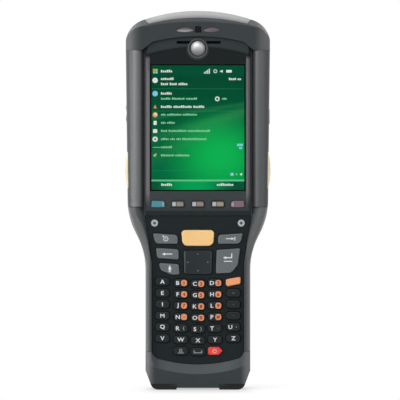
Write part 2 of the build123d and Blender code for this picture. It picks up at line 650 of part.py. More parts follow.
# Large keys: outline from their row's height, and the radius of each corner. They are drawn
# round keys of one width and spread with the letter keys' width.
DRAWN_KEY_W = 8.7
SPREAD = KEY_W / DRAWN_KEY_W
ESCAPE = ([(-27.7, 2.9), (-12.5, 1.85), (-12.5, -3.65), (-26.3, -3.5)], [0.7, 2.0, 1.0, 3.0])
BACKSPACE = ([(-25.9, 8.7), (-12.0, 8.0), (-11.7, 1.6), (-25.0, 2.5)], [0.8, 1.6, 1.2, 1.8])
SHIFT = ([(-24.2, -0.4), (-11.7, -1.3), (-11.4, -7.7), (-16, -7.7), (-22.8, -5)], [1.0, 1.4, 1.0, 3.0, 2.6])
ENTER = ([(11.6, 7.5), (26.1, 8.6), (24.6, -1.8), (20.6, -6.6), (11.1, -6.9)], [0.9, 0.8, 4.0, 5.0, 1.0])
SCAN = ([(-10.2, 4.85), (10.2, 4.85), (9.4, -4.85), (-9.4, -4.85)], [2.3, 2.3, 3.4, 3.4])
ORANGE = ([(17.2, 2.7), (26.3, 4.3), (26.3, 0.1), (17.4, -1.8)], [0.9, 0.9, 1.4, 1.4])
POWER = ([(6.3, 2.5), (12.9, 2.5), (15.3, 0.1), (12.9, -2.5), (6.3, -2.5)], [1.3, 1.6, 0.8, 1.6, 1.3])
NAV_PAD = ([(-8.75, 7.1), (8.75, 7.1), (8.3, -7.1), (-8.3, -7.1)], [1.2, 1.2, 1.2, 1.2])


def placed(outline, z, grow=0.0, flipped=False, square=False):
    """One large key's flat shape at its height; its flange is square-cornered."""
    points, radii = outline
    points = [(x * SPREAD, height) for x, height in points]
    shape = polygon(points, 0.0 if square else radii)
    if flipped:
        shape = shape.mirror(Plane.YZ)
    if grow:
        shape = offset(shape, grow, kind=Kind.INTERSECTION if square else Kind.ARC)
    return Pos(0, z) * shape


def small_key(column, row, grow=0.0, square=False):
    """One letter key's flat shape; row 0 is the lowest, and a flange is square-cornered."""
    x = COLUMNS[column]
    z = FIRST_ROW_Z + row * ROW_PITCH + COLUMN_LIFT[column]
    size = (KEY_W + 2 * grow, KEY_H + 2 * grow)
    return Pos(x, z) * (Rectangle(*size) if square else RectangleRounded(*size, KEY_R + grow))


def small_hole(column, row):
    """The frame's hole for a letter key; its corners are flats that touch the round clearance line."""
    hole = small_key(column, row, PLAY, square=True)
    return chamfer(hole.vertices(), (KEY_R + PLAY) * (2 - math.sqrt(2)))


def alpha_slots():
    """Columns and rows of the letter keys, from the top row down."""
    rows = []
    for row in range(ALPHA_ROWS, 0, -1):
        columns = range(4) if row == ALPHA_ROWS else range(5)
        rows.append([(column, row) for column in columns])
    return rows


def large_key_shapes(grow=0.0, square=False):
    """Every key that has a node of its own, by name."""
    return {
        "key_scan": placed(SCAN, SCAN_Z, grow, square=square),
        "key_escape": placed(ESCAPE, SCAN_Z, grow, square=square),
        "key_tab": placed(ESCAPE, SCAN_Z, grow, flipped=True, square=square),
        "key_backspace": placed(BACKSPACE, NAV_Z, grow, square=square),
        "key_shift": placed(SHIFT, NAV_Z, grow, square=square),
        "key_enter": placed(ENTER, NAV_Z, grow, square=square),
        "key_orange": placed(ORANGE, TOP_ROW_Z, grow, square=square),
        "key_function": small_key(1, 0, grow, square),
        "key_space": small_key(2, 0, grow, square),
        "key_power": placed(POWER, FIRST_ROW_Z + COLUMN_LIFT[3], grow, square=square),
    }


def key_cap(shape, rim, face_y, flange_y, proud=KEY_PROUD, bevel=0.45):
    """A key: a cap that stands out of the frame and a flange that holds it from behind."""
    cap = front_prism(shape, face_y - proud, flange_y)
    crown = cap.faces().sort_by(Axis.Y)[0]
    cap = chamfer(crown.edges(), bevel)
    return cap + front_prism(rim, flange_y, flange_y + FLANGE_T)


def keypad_frame():
    """Dark frame that the keys stand in, held by two screws."""
    frame = front_prism(keypad_outline(), PLATE_Y, PLATE_Y + PLATE_T)
    holes = list(large_key_shapes(PLAY).values())
    holes += [small_hole(column, row) for slots in alpha_slots() for column, row in slots]
    holes.append(placed(NAV_PAD, NAV_Z, 0.35))
    for hole in holes:
        frame = frame - front_prism(hole, -40, -10)
    for x, z in KEYPAD_SCREWS:
        frame = frame - disc(x, z, SCREW_HEAD_R + SHUT, -40, PLATE_Y + 1.0)
        frame = frame - disc(x, z, SCREW_SHANK_R + 0.1, -40, -10)
    return frame


def keypad_inner(inset):
    """Flat shape of the layers behind the keys."""
    return keypad_outline(-WELL_INSET - inset) & Pos(0, (SCAN_Z + 5.75) / 2) * Rectangle(120, SCAN_Z + 5.75)


def keypad_mat():
    """Rubber mat behind the keys."""
    return front_prism(keypad_inner(SHUT), MAT_Y, MAT_Y + MAT_T)


def keypad_board():
    return front_prism(keypad_inner(SHUT), MAT_Y + MAT_T, MAT_Y + MAT_T + KEYBOARD_T)


def keypad_screws():
    """Two pan-head screws at the top of the keypad frame."""
    screws = []
    for x, z in KEYPAD_SCREWS:
        head = disc(x, z, SCREW_HEAD_R, PLATE_Y - 0.35, PLATE_Y + 1.0)
        screws.append(head + disc(x, z, SCREW_SHANK_R, PLATE_Y + 1.0, FRAME_BACK_Y - 1.0))
    return Compound(children=[s for screw in screws for s in screw.solids()])


# ---------------------------------------------------------------- navigation pad
NAV_TILT = 4.0
NAV_PAD_Y = (PLATE_Y - 1.6, PLATE_Y + 0.4)
NAV_GIMBAL_Y = (PLATE_Y + 0.8, PLATE_Y + 1.4)
NAV_STEM_Y = PLATE_Y + 1.8
NAV_HUB_R = 3.5


def nav_pad():
    """Four-way pad with raised rims on its left and right."""
    pad = front_prism(placed(NAV_PAD, NAV_Z), *NAV_PAD_Y)
    dish = Pos(0, NAV_PAD_Y[0] - 38.3, NAV_Z) * Cylinder(39.0, 40)
    return pad - dish


def nav_gimbal():
    """Ring under the pad that lets it rock up and down."""
    return disc(0, NAV_Z, NAV_HUB_R, *NAV_GIMBAL_Y)


def nav_stem():
    """Plunger behind the gimbal, held under the frame by its flange."""
    hub = disc(0, NAV_Z, NAV_HUB_R, NAV_STEM_Y, FLANGE_Y + 0.1)
    return hub + front_prism(placed(NAV_PAD, NAV_Z, 0.35 + FLANGE_RIM), FLANGE_Y, FLANGE_Y + FLANGE_T)


# ---------------------------------------------------------------- side controls
def trigger():
    """Right-hand scan trigger, crowned on its outer side."""
    low = TRIGGER_Z - TRIGGER_H / 2
    high = TRIGGER_Z + TRIGGER_H / 2
    crown = HEAD_HALF + TRIGGER_CROWN
    end = crown - 1.3
    side = Polyline((end, low), (TRIGGER_BASE_X, low), (TRIGGER_BASE_X, high), (end, high)).edges()
    face = make_face(side + ThreePointArc((end, low), (crown, TRIGGER_Z), (end, high)).edges())
    body = front_prism(face, *TRIGGER_Y)
    return fillet(body.edges().filter_by(GeomType.CIRCLE), 1.2)


def rocker_pocket(low, high, y):
    """Pocket of a side button, on the right."""
    return block((ROCKER_BASE_X - 1.1, 60), y, (low, high))


def volume_rocker():
    """Two-way volume key, rocking on its middle."""
    low = ROCKER_Z - ROCKER_H / 2
    high = ROCKER_Z + ROCKER_H / 2
    outer = half_width(ROCKER_Z) + 0.3
    waist = outer - 0.35
    points = [(ROCKER_BASE_X, low), (waist, low), (outer, low + 1.6), (waist, ROCKER_Z)]
    points += [(outer, high - 1.6), (waist, high), (ROCKER_BASE_X, high)]
    key = front_prism(polygon(points), *ROCKER_Y)
    return key.mirror(Plane.YZ)


def side_button():
    """Low button on the right side."""
    outer = half_width(SIDE_BUTTON_Z[1]) + 0.2
    key = block((ROCKER_BASE_X, outer), ROCKER_Y, SIDE_BUTTON_Z)
    rim = key.faces().sort_by(Axis.X)[-1].edges()
    return chamfer(rim, 0.5)


# ---------------------------------------------------------------- electronics
CAMERA_R = 6.0
SPEAKER_SLOTS = 5
SPEAKER_PITCH = 2.8
REAR_SCREW_X = HEAD_HALF - 15.5
REAR_SCREWS = [(side * REAR_SCREW_X, CAMERA_Z + lift) for lift in (4.0, -22.0) for side in (-1, 1)]
CONTACT_BLOCK = ((-10.8, 10.8), (-6.8, 4.8), (3.2, 13.5))


def main_board():
    """Main board over the whole length, with its shield cans."""
    half = RAIL_INNER - RAIL_WALL - SEAT
    room = Pos(0, sum(BOARD_Z) / 2) * Rectangle(2 * half, BOARD_Z[1] - BOARD_Z[0])
    shape = front_outline(WALL + 0.3, shouldered=True) & room
    back = BOARD_Y + BOARD_T
    board = front_prism(shape, BOARD_Y, back)
    board = board + block((-20, 20), (back, back + 2.6), (NAV_Z - 26, NAV_Z + 14))
    board = board + block((-30, -6), (back, back + 4.0), (DISPLAY_Z + 12, BULGE_TOP_Z + 4))
    return board + block((2, 28), (BOARD_Y - 3.6, BOARD_Y), (DISPLAY_Z + 18, DISPLAY_TOP_Z - 10))


def scan_engine():
    """Scan engine under the window in the cover."""
    y_low = BOARD_Y + BOARD_T + SEAT
    y_high = y_low + 14.0
    lift = -SCAN_WINDOW_DEEP - SCAN_WINDOW_T - 0.5
    low = COVER_Z + 0.8
    high = (slope_z(y_high) + lift, slope_z(y_low) + lift)
    corners = [(y_low, low), (y_high, low), (y_high, high[0]), (y_low, high[1])]
    return side_prism(polygon(corners), -15, 15)


def scan_window():
    """Tinted glass in the cover's sloping face."""
    y_low, y_high = SCAN_WINDOW_Y
    low = -SCAN_WINDOW_DEEP - SCAN_WINDOW_T
    return slanted(y_low + SHUT, y_high - SHUT, SCAN_WINDOW_HALF - SHUT, low, -SCAN_WINDOW_DEEP)


def camera_module():
    """Camera barrel with its sensor block."""
    seat = REAR_Y - 7.4
    barrel = disc(0, CAMERA_Z, CAMERA_R, seat, REAR_Y - 0.4)
    well = disc(0, CAMERA_Z, CAMERA_R - 1.4, REAR_Y - 1.6, 40)
    return barrel - well + block((-5.5, 5.5), (seat - 6, seat), (CAMERA_Z - 5.5, CAMERA_Z + 5.5))


def loudspeaker():
    face = REAR_Y - WALL - SEAT
    return block((-10, 10), (face - 4.0, face), (SPEAKER_Z - 7.5, SPEAKER_Z + 7.5))


def rear_screws():
    """Four screws that hold the rear housing."""
    screws = []
    for x, z in REAR_SCREWS:
        head = disc(x, z, SCREW_HEAD_R, REAR_Y - 2.6, REAR_Y - 1.0)
        screws.append(head + disc(x, z, SCREW_SHANK_R, REAR_Y - 9.0, REAR_Y - 2.6))
    return Compound(children=[s for screw in screws for s in screw.solids()])


def io_connector():
    """Contact block in the bottom, with its row of pads."""
    body = block(*CONTACT_BLOCK)
    low = CONTACT_BLOCK[2][0]
    for i in range(7):
        x = (i - 3) * 2.6
        body = body + block((x - 0.8, x + 0.8), (-4.5, 2.5), (low - 0.2, low + 0.1))
    return body


# ---------------------------------------------------------------- battery
LATCH_X = (BATTERY_HALF - 3.6, BATTERY_HALF)
LATCH_Y = (GRIP_REAR_Y - 8.0, GRIP_REAR_Y - 2.0)


def battery_pack():
    """Battery whose back is flush with the grip, with pockets for its two latches."""
    x = (-BATTERY_HALF, BATTERY_HALF)
    pack = OUTER & block(x, (BAY_Y + SEAT, 40), (BATTERY_Z, BATTERY_TOP_Z))
    for side in (-1, 1):
        low, high = sorted((side * (LATCH_X[0] - LATCH_TRAVEL - SEAT), side * 40))
        y = (LATCH_Y[0] - SEAT, LATCH_Y[1] + SEAT)
        z = (LATCH_Z - LATCH_H / 2 - SEAT, LATCH_Z + LATCH_H / 2 + SEAT)
        pack = pack - block((low, high), y, z)
    return pack


def battery_latch(side):
    """Squeeze latch in the battery's edge, ribbed for the finger."""
    low, high = sorted((side * LATCH_X[0], side * LATCH_X[1]))
    latch = block((low, high), LATCH_Y, (LATCH_Z - LATCH_H / 2, LATCH_Z + LATCH_H / 2))
    for i in range(3):
        z = LATCH_Z + (i - 1) * 3.0
        outer = sorted((side * (LATCH_X[1] - 0.6), side * 40))
        latch = latch - block(outer, (0, 30), (z - 0.5, z + 0.5))
    return latch


# ---------------------------------------------------------------- hand strap
STRAP_PIN_LENGTH = STRAP_W + 9.0
CLIP_HALF = 12.5
CLIP_Z = (8.0, 21.0)
CLIP_SEAT_Y = STRAP_Y - 3.8


def cross_bar(radius, length):
    """A round bar across the strap's slot."""
    return Pos(0, STRAP_PIN_Y, STRAP_PIN_Z) * Rot(0, 90, 0) * Cylinder(radius, length)


def hand_strap():
    """Strap from its pin in the head down to the clip at the heel."""
    half = STRAP_W / 2
    band = side_prism(strap_profile(), -half, half)
    return band - cross_bar(STRAP_PIN_R + 0.05, STRAP_W + 2)


def strap_profile():
    """Side view of the strap: the sewn loop round the pin, then the flat band."""
    outer = STRAP_Y + STRAP_T
    loop_r = 3.4
    ring = Pos(STRAP_PIN_Y, STRAP_PIN_Z) * Circle(loop_r)
    top = STRAP_PIN_Z - 6.0
    low = CLIP_Z[1] + 5.0
    band = [(STRAP_PIN_Y + loop_r - 0.1, STRAP_PIN_Z + 0.4), (outer, top), (outer, low), (STRAP_Y, low)]
    band += [(STRAP_Y, top - 3.0), (STRAP_PIN_Y - loop_r + 0.6, STRAP_PIN_Z - 1.0)]
    return ring + polygon(band)


def strap_clip():
    """Clip on the strap's lower end, seated in the heel."""
    outer = STRAP_Y + STRAP_T
    top = CLIP_Z[1]
    tongue = block((-CLIP_HALF, CLIP_HALF), (CLIP_SEAT_Y + SEAT, outer), CLIP_Z)
    bar = block((-STRAP_W / 2, STRAP_W / 2), (STRAP_Y - 0.4, outer + 0.4), (top + 0.8, top + 5.0))
    bridge = block((-CLIP_HALF, CLIP_HALF), (STRAP_Y, outer), (top, top + 1.0))
    return tongue + bridge + bar


def strap_pin():
    """Steel pin across the strap slot."""
    return cross_bar(STRAP_PIN_R, STRAP_PIN_LENGTH)


# ---------------------------------------------------------------- assembly
def build():
    """Every node of the terminal, by name."""
    nodes = {
        "front_housing": front_housing(),
        "rear_housing": rear_housing(),
        "top_cover": top_cover(),
        "bottom_cap": bottom_cap(),
        "feet": feet(),
        "top_strip": top_strip(),
    }
    rail = side_rail()
    rocker_y = (ROCKER_Y[0] - PLAY, ROCKER_Y[1] + PLAY)
    rocker_low = ROCKER_Z - ROCKER_H / 2 - PLAY
    rocker_high = ROCKER_Z + ROCKER_H / 2 + PLAY
    button_low, button_high = (SIDE_BUTTON_Z[0] - PLAY, SIDE_BUTTON_Z[1] + PLAY)
    nodes["side_rail_right"] = rail - rocker_pocket(button_low, button_high, rocker_y)
    nodes["side_rail_left"] = (rail - rocker_pocket(rocker_low, rocker_high, rocker_y)).mirror(Plane.YZ)
    nodes["display_bezel"] = display_bezel()
    nodes["touch_panel"] = touch_panel()
    nodes["lcd_module"] = lcd_module()
    nodes["badge_dome"] = badge_dome()
    nodes["receiver"] = receiver()
    nodes["light_pipes"] = light_pipes()
    nodes["light_sensor"] = light_sensor()
    nodes["keypad_frame"] = keypad_frame()
    nodes["keypad_mat"] = keypad_mat()
    nodes["keypad_board"] = keypad_board()
    nodes["keypad_screws"] = keypad_screws()
    rims = large_key_shapes(FLANGE_RIM, square=True)
    for name, shape in large_key_shapes().items():
        nodes[name] = key_cap(shape, rims[name], PLATE_Y, FLANGE_Y)
    for index, slots in enumerate(alpha_slots(), start=1):
        shapes = [(small_key(*slot), small_key(*slot, FLANGE_RIM, True)) for slot in slots]
        keys = [key_cap(shape, rim, PLATE_Y, FLANGE_Y) for shape, rim in shapes]
        nodes[f"letter_keys_row_{index}"] = Compound(children=[s for key in keys for s in key.solids()])
    for index in range(5):
        rim = function_shape(index, FLANGE_RIM, square=True)
        key = key_cap(function_shape(index), rim, BEZEL_Y, FUNCTION_FLANGE_Y, proud=1.0, bevel=0.4)
        nodes[f"function_key_{index + 1}"] = key
    nodes["nav_pad"] = nav_pad()
    nodes["nav_gimbal"] = nav_gimbal()
    nodes["nav_stem"] = nav_stem()
    nodes["trigger_right"] = trigger()
    nodes["trigger_left"] = trigger().mirror(Plane.YZ)
    nodes["volume_rocker"] = volume_rocker()
    nodes["side_button"] = side_button()
    nodes["main_board"] = main_board()
    nodes["scan_engine"] = scan_engine()
    nodes["scan_window"] = scan_window()
    nodes["camera_module"] = camera_module()
    nodes["loudspeaker"] = loudspeaker()
    nodes["rear_screws"] = rear_screws()
    nodes["io_connector"] = io_connector()
    nodes["battery_pack"] = battery_pack()
    nodes["battery_latch_right"] = battery_latch(1)
    nodes["battery_latch_left"] = battery_latch(-1)
    nodes["hand_strap"] = hand_strap()
    nodes["strap_clip"] = strap_clip()
    nodes["strap_pin"] = strap_pin()
    return nodes


os.makedirs("parts", exist_ok=True)
for name, solid in build().items():
    export_step(solid, f"parts/{name}.step")
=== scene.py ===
import bmesh
import bpy
import json
import math
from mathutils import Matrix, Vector


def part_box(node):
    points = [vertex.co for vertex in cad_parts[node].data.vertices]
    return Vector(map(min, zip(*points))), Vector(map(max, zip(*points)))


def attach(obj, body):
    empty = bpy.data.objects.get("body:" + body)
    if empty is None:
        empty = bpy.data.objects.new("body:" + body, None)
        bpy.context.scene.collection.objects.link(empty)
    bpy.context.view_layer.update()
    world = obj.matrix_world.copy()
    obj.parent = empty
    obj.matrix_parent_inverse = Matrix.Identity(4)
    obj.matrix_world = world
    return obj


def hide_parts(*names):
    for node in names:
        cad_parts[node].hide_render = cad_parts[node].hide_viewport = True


# Looks of a rugged key terminal. Metres, in the frame of its construction:
# +Z runs up its length, the display and keys face -Y, +X is to the viewer's right.
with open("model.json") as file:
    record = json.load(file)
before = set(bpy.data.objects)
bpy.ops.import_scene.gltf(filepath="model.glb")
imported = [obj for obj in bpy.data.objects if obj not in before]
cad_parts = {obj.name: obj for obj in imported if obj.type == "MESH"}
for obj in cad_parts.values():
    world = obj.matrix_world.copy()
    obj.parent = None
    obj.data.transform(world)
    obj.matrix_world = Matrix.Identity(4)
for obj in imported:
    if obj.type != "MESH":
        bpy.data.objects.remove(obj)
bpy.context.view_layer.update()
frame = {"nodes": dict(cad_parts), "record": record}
MM = 0.001
WHITE = (1, 1, 1, 1)


# -------- shader maths
class Value:
    """A number, colour or vector that varies over a surface."""

    def __init__(self, graph, socket):
        self.graph = graph
        self.socket = socket

    def __add__(self, other):
        return self.graph.maths("ADD", self, other)

    def __radd__(self, other):
        return self.graph.maths("ADD", other, self)

    def __sub__(self, other):
        return self.graph.maths("SUBTRACT", self, other)

    def __rsub__(self, other):
        return self.graph.maths("SUBTRACT", other, self)

    def __mul__(self, other):
        return self.graph.maths("MULTIPLY", self, other)

    def __rmul__(self, other):
        return self.graph.maths("MULTIPLY", other, self)

    def __truediv__(self, other):
        return self.graph.maths("DIVIDE", self, other)

    def __pow__(self, other):
        return self.graph.maths("POWER", self, other)

    def absolute(self):
        return self.graph.maths("ABSOLUTE", self)

    def fraction(self):
        return self.graph.maths("FRACT", self)

    def between(self, low, high):
        """0 below low, 1 above high, and a smooth rise in between."""
        settings = {"interpolation_type": "SMOOTHSTEP"}
        return self.graph.node("MapRange", settings, {"Value": self, "From Min": low, "From Max": high})


def paint(red, green, blue):
    """A colour on the 0 to 255 scale of a colour card, as the shader's linear light."""
    def linear(c):
        c = c / 255
        return c / 12.92 if c <= 0.04045 else ((c + 0.055) / 1.055) ** 2.4
    return (linear(red), linear(green), linear(blue), 1.0)


def shade(colour, factor, lift=0.0):
    """The same colour, lighter or darker; lift is added to each of its channels."""
    return [min(c * factor + lift, 1.0) for c in colour[:3]] + [1.0]


MIX_FACTOR, MIX_FIRST, MIX_SECOND, MIX_RESULT = 0, 6, 7, 2  # a Mix node's sockets when it mixes colours
EDGE_TURN = (0.004, 0.16)  # how far rounding turns the normal, from a flat to a sharp edge


class Graph:
    """A tree of shader nodes being made."""

    def __init__(self, owner):
        owner.use_nodes = True
        self.tree = owner.node_tree
        self.tree.nodes.clear()

    def feed(self, socket, value):
        """Links a varying value to a socket, or sets a constant on it."""
        if isinstance(value, Value):
            self.tree.links.new(value.socket, socket)
        else:
            socket.default_value = value

    def add(self, kind, settings=None, inputs=None):
        """Any node: its settings first, then its sockets."""
        made = self.tree.nodes.new("ShaderNode" + kind)
        for setting, value in (settings or {}).items():
            setattr(made, setting, value)
        for socket, value in (inputs or {}).items():
            self.feed(made.inputs[socket], value)
        return made

    def node(self, kind, settings=None, inputs=None, output=0):
        """One output of a new node."""
        return Value(self, self.add(kind, settings, inputs).outputs[output])

    def maths(self, operation, *values):
        return self.node("Math", {"operation": operation}, dict(enumerate(values)))

    def vector(self, operation, *values, output="Vector"):
        return self.node("VectorMath", {"operation": operation}, dict(enumerate(values)), output)

    def blend(self, share, first, second):
        """Two colours mixed by a share."""
        settings = {"data_type": "RGBA", "blend_type": "MIX", "clamp_factor": True}
        inputs = {MIX_FACTOR: share, MIX_FIRST: first, MIX_SECOND: second}
        return self.node("Mix", settings, inputs, MIX_RESULT)

    def backdrop_rays(self):
        """1 for the rays that should find a white backdrop: the camera's, mirrored and see-through ones."""
        camera, glossy, through = (self.node("LightPath", output=f"Is {ray} Ray")
                                   for ray in ("Camera", "Glossy", "Transmission"))
        return camera + glossy + through


class Finish(Graph):
    """A material being made: a Principled surface with its constants, and the nodes that vary it."""

    def __init__(self, name, **constants):
        self.material = bpy.data.materials.new(name)
        super().__init__(self.material)
        inputs = {socket.replace("_", " "): value for socket, value in constants.items()}
        self.surface = self.add("BsdfPrincipled", None, inputs)
        self.lit = Value(self, self.surface.outputs[0])
        self.output = self.add("OutputMaterial", None, {"Surface": self.lit})

    def set(self, socket, value):
        self.feed(self.surface.inputs[socket], value)

    def place(self):
        """The point on the piece, in the object's own frame."""
        return self.node("TexCoord", output="Object")

    def along(self, axis):
        return self.node("SeparateXYZ", None, {0: self.place()}, output=axis)

    def fade(self, axis, start, end):
        """0 at start and 1 at end, both in millimetres along an axis."""
        return self.along(axis).between(start * MM, end * MM)

    def fade_sideways(self, start, end):
        """0 at start and 1 at end, both in millimetres from the middle plane, alike left and right."""
        return self.along("X").absolute().between(start * MM, end * MM)

    def above_arch(self, middle, drop, half):
        """Height above an arched line, given in millimetres: its height in the middle, and how far it falls
        where it is half out."""
        x = self.along("X") / (half * MM)
        return self.along("Z") - middle * MM + x * x * (drop * MM)

    def around(self, height):
        """Distance from the middle line of the front at a height in millimetres."""
        x = self.along("X")
        up = self.along("Z") - height * MM
        return (x * x + up * up) ** 0.5

    def noise(self, size, detail=2.0, rough=0.5):
        """Cloudy noise whose lumps are about size metres across, from 0 to 1."""
        inputs = {"Vector": self.place(), "Scale": 1 / size, "Detail": detail, "Roughness": rough}
        return self.node("TexNoise", None, inputs)

    def zoned(self, base, zones):
        """A colour with those of the zones laid over it, each by its share."""
        for share, colour in (zones or {}).items():
            base = self.blend(share(self), base, colour)
        return base

    def rounded(self, radius):
        """Normal of the surface with its sharp edges rounded."""
        return self.node("Bevel", {"samples": 4}, {"Radius": radius})

    def edges(self, rounded):
        """1 along the sharp edges that rounded softens, 0 on the flats."""
        normal = self.node("NewGeometry", output="Normal")
        return (1 - self.vector("DOT_PRODUCT", rounded, normal, output="Value")).between(*EDGE_TURN)

    def bump(self, height, depth, normal=None):
        inputs = {"Height": height, "Distance": depth, "Strength": 1.0}
        if normal:
            inputs["Normal"] = normal
        return self.node("Bump", None, inputs)


# -------- finishes
CLOUDS = 14 * MM  # faint clouding of moulded plastic
HANDLING = 9 * MM  # patches that handling leaves more or less glossy
DUST = 6 * MM  # dust on rubber
GRIT = 0.4 * MM  # fine unevenness of rubber and webbing
BRUSHING = 0.5 * MM  # marks of the brush on steel
WAVES = 25 * MM  # slow unevenness of glass


def moulded(name, colour, roughness, specular=0.3, grain=0.35 * MM, depth=0.010 * MM, edge=0.3 * MM,
            edge_wear_and_light=0.25, zones=None):
    """Moulded plastic: spark-eroded grain, faint clouding, and edges made lighter: a little, as wear, on
    most pieces, and strongly, as a painted highlight along their rims, on the keys and the pad.

    Each zone is a function that works out a share, with the colour that it brings in there.
    """
    finish = Finish(name, Specular_IOR_Level=specular)
    normal = finish.rounded(edge)
    base = finish.blend(finish.noise(CLOUDS, 3.0), shade(colour, 0.86), shade(colour, 1.12))
    speckle = finish.noise(grain * 1.6, 1.0).between(0.35, 0.75)
    base = finish.zoned(finish.blend(speckle * 0.18, base, shade(colour, 1.8)), zones)
    # edges made lighter: wear where the share is small, a painted highlight where it is large
    worn_and_lit_edges = finish.edges(normal) * edge_wear_and_light
    finish.set("Base Color", finish.blend(worn_and_lit_edges, base, shade(colour, 2.3, 0.015)))
    finish.set("Roughness", roughness - 0.06 + 0.12 * finish.noise(HANDLING))
    finish.set("Normal", finish.bump(finish.noise(grain, 2.0, 0.6), depth, normal))
    return finish.material


def rubbery(name, colour, zones=None):
    """Soft matt rubber, dusty on its edges."""
    finish = Finish(name, Specular_IOR_Level=0.2)
    normal = finish.rounded(0.5 * MM)
    dust = finish.noise(DUST, 4.0).between(0.4, 0.75)
    grey = shade(colour, 1.7, 0.006)
    base = finish.zoned(finish.blend(dust * 0.35, colour, grey), zones)
    finish.set("Base Color", finish.blend(finish.edges(normal) * 0.25, base, grey))
    finish.set("Roughness", 0.7 + 0.15 * finish.noise(3 * MM))
    finish.set("Normal", finish.bump(finish.noise(GRIT, 3.0), 0.02 * MM, normal))
    return finish.material


def steel(name, colour, roughness, zones=None):
    """Plated steel, faintly brushed."""
    finish = Finish(name, Metallic=0.85)
    normal = finish.rounded(0.12 * MM)
    streaks = finish.noise(BRUSHING, 3.0)
    base = finish.blend(streaks * 0.6, colour, shade(colour, 0.72))
    finish.set("Base Color", finish.zoned(base, zones))
    finish.set("Roughness", roughness + 0.15 * streaks)
    finish.set("Normal", finish.bump(streaks, 0.004 * MM, normal))
    return finish.material


def tinted(name, colour):
    """Dark tinted window, polished."""
    finish = Finish(name, Specular_IOR_Level=0.12, Coat_Roughness=0.05)
    finish.set("Base Color", finish.blend(finish.noise(20 * MM), colour, shade(colour, 1.4)))
    finish.set("Roughness", 0.10 + 0.05 * finish.noise(4 * MM))
    finish.set("Coat Weight", 0.04 + 0.04 * finish.noise(10 * MM))
    return finish.material


def light_guide(name):
    """Frosted clear plastic, unlit; the left lens is the lighter one, with a painted highlight on its lower
    half, and the lens on the right darkens further out to the right.
    """
    finish = Finish(name, Specular_IOR_Level=0.4)
    right = finish.fade("X", -8, 10)
    base = finish.blend(right, paint(92, 90, 94), paint(98, 88, 95))
    base = finish.blend(finish.fade("Z", 222.2, 220.6) * (1 - right) * 0.7, base, paint(180, 178, 180))
    base = finish.blend(finish.fade("X", 6, 13) * 0.5, base, paint(66, 60, 64))
    finish.set("Base Color", finish.blend(finish.noise(1.2 * MM) * 0.25, base, paint(90, 88, 92)))
    finish.set("Roughness", 0.3 + 0.2 * finish.noise(1.5 * MM))
    return finish.material


def glass(name):
    """Hard-coated touch panel: clear, with its own gloss."""
    finish = Finish(name, Specular_IOR_Level=0.3)
    finish.set("Base Color", finish.blend(finish.noise(30 * MM), paint(6, 10, 9), paint(14, 20, 18)))
    finish.set("Roughness", 0.06 + 0.05 * finish.noise(WAVES))
    finish.set("Alpha", 0.05 + 0.02 * finish.noise(WAVES))
    return finish.material


def ink(name, colour, vary=0.12, roughness=0.5):
    """Printed or moulded-in colour with a fine unevenness."""
    finish = Finish(name, Specular_IOR_Level=0.3)
    blotches = 0.8 * MM
    pale, full = shade(colour, 1 + vary), shade(colour, 1 - vary)
    finish.set("Base Color", finish.blend(finish.noise(blotches, 3.0), full, pale))
    finish.set("Roughness", roughness - 0.05 + 0.1 * finish.noise(blotches))
    return finish.material


def lit_ink(name, colour):
    """A mark on the lit display."""
    finish = Finish(name, Base_Color=(0, 0, 0, 1), Emission_Strength=1.0, Specular_IOR_Level=0.0)
    finish.set("Emission Color", finish.blend(finish.noise(1.5 * MM), shade(colour, 0.85), colour))
    return finish.material


SOFT_KEYS_TOP = 6.4  # height of the display's lower bar
TITLE_H = 7.0  # height of the display's title bar
GLOW = (14, 0.27, 41, 36)  # its place across, its height as a share of the page, its reach across and up
# Each pale streak: its height as a share of the page, its lean, its width and its strength.
SWEEPS = ((0.52, 0.30, 5.0, 0.08), (0.63, 0.16, 2.0, 0.07), (0.44, 0.5, 9.0, 0.05))


def lit_display(name, low, high):
    """The display's ground: dark green with a soft glow on its right, a title bar and a lower bar."""
    finish = Finish(name, Base_Color=(0.002, 0.004, 0.003, 1), Emission_Strength=1.0, Specular_IOR_Level=0.0)
    x, z = finish.along("X"), finish.along("Z")
    tall = high.z - low.z
    ground = finish.blend(z.between(low.z + 0.1 * tall, high.z), paint(0, 104, 62), paint(0, 70, 46))
    glow_x, glow_share, reach_x, reach_z = GLOW
    across = (x - glow_x * MM) / (reach_x * MM)
    up = (z - (low.z + glow_share * tall)) / (reach_z * MM)
    glow = 1 - (across * across + up * up) ** 0.5
    ground = finish.blend(glow.between(0.0, 0.95), ground, paint(8, 179, 80))
    for share, lean, width, strength in SWEEPS:
        sweep = (z - (low.z + share * tall) - lean * x) / (width * MM)
        ground = finish.blend((1 - sweep.absolute()).between(0, 1) * strength, ground, paint(90, 214, 130))

    def from_foot(start, end):
        return z.between(low.z + start * MM, low.z + end * MM)

    def from_head(start, end):
        return z.between(high.z - start * MM, high.z - end * MM)

    middle = 1 - ((x + 2 * MM) / (26 * MM)).absolute()
    bar = finish.blend(middle.between(0, 0.9), paint(6, 84, 56), paint(0, 160, 82))
    ground = finish.blend(from_foot(SOFT_KEYS_TOP - 0.2, SOFT_KEYS_TOP - 0.6), ground, bar)
    line = (1 - ((z - low.z - SOFT_KEYS_TOP * MM) / (0.7 * MM)).absolute()).between(0, 0.5)
    ground = finish.blend(line * 0.9, ground, paint(104, 196, 140))
    ground = finish.blend(from_head(TITLE_H + 0.2, TITLE_H - 0.2) * 0.5, ground, paint(0, 84, 56))
    sides = x.absolute().between(high.x - 0.9 * MM, high.x - 0.6 * MM)
    border = sides + from_foot(0.8, 0.5) + from_head(0.7, 0.4)
    finish.set("Emission Color", finish.blend(border, ground, paint(4, 6, 5)))
    finish.set("Roughness", 0.3 + 0.1 * finish.noise(20 * MM))
    return finish.material


RIB_PITCH = 1.3 * MM
YARN_PITCH = 1.7 * MM
WEAVE_DEPTH = 0.18 * MM


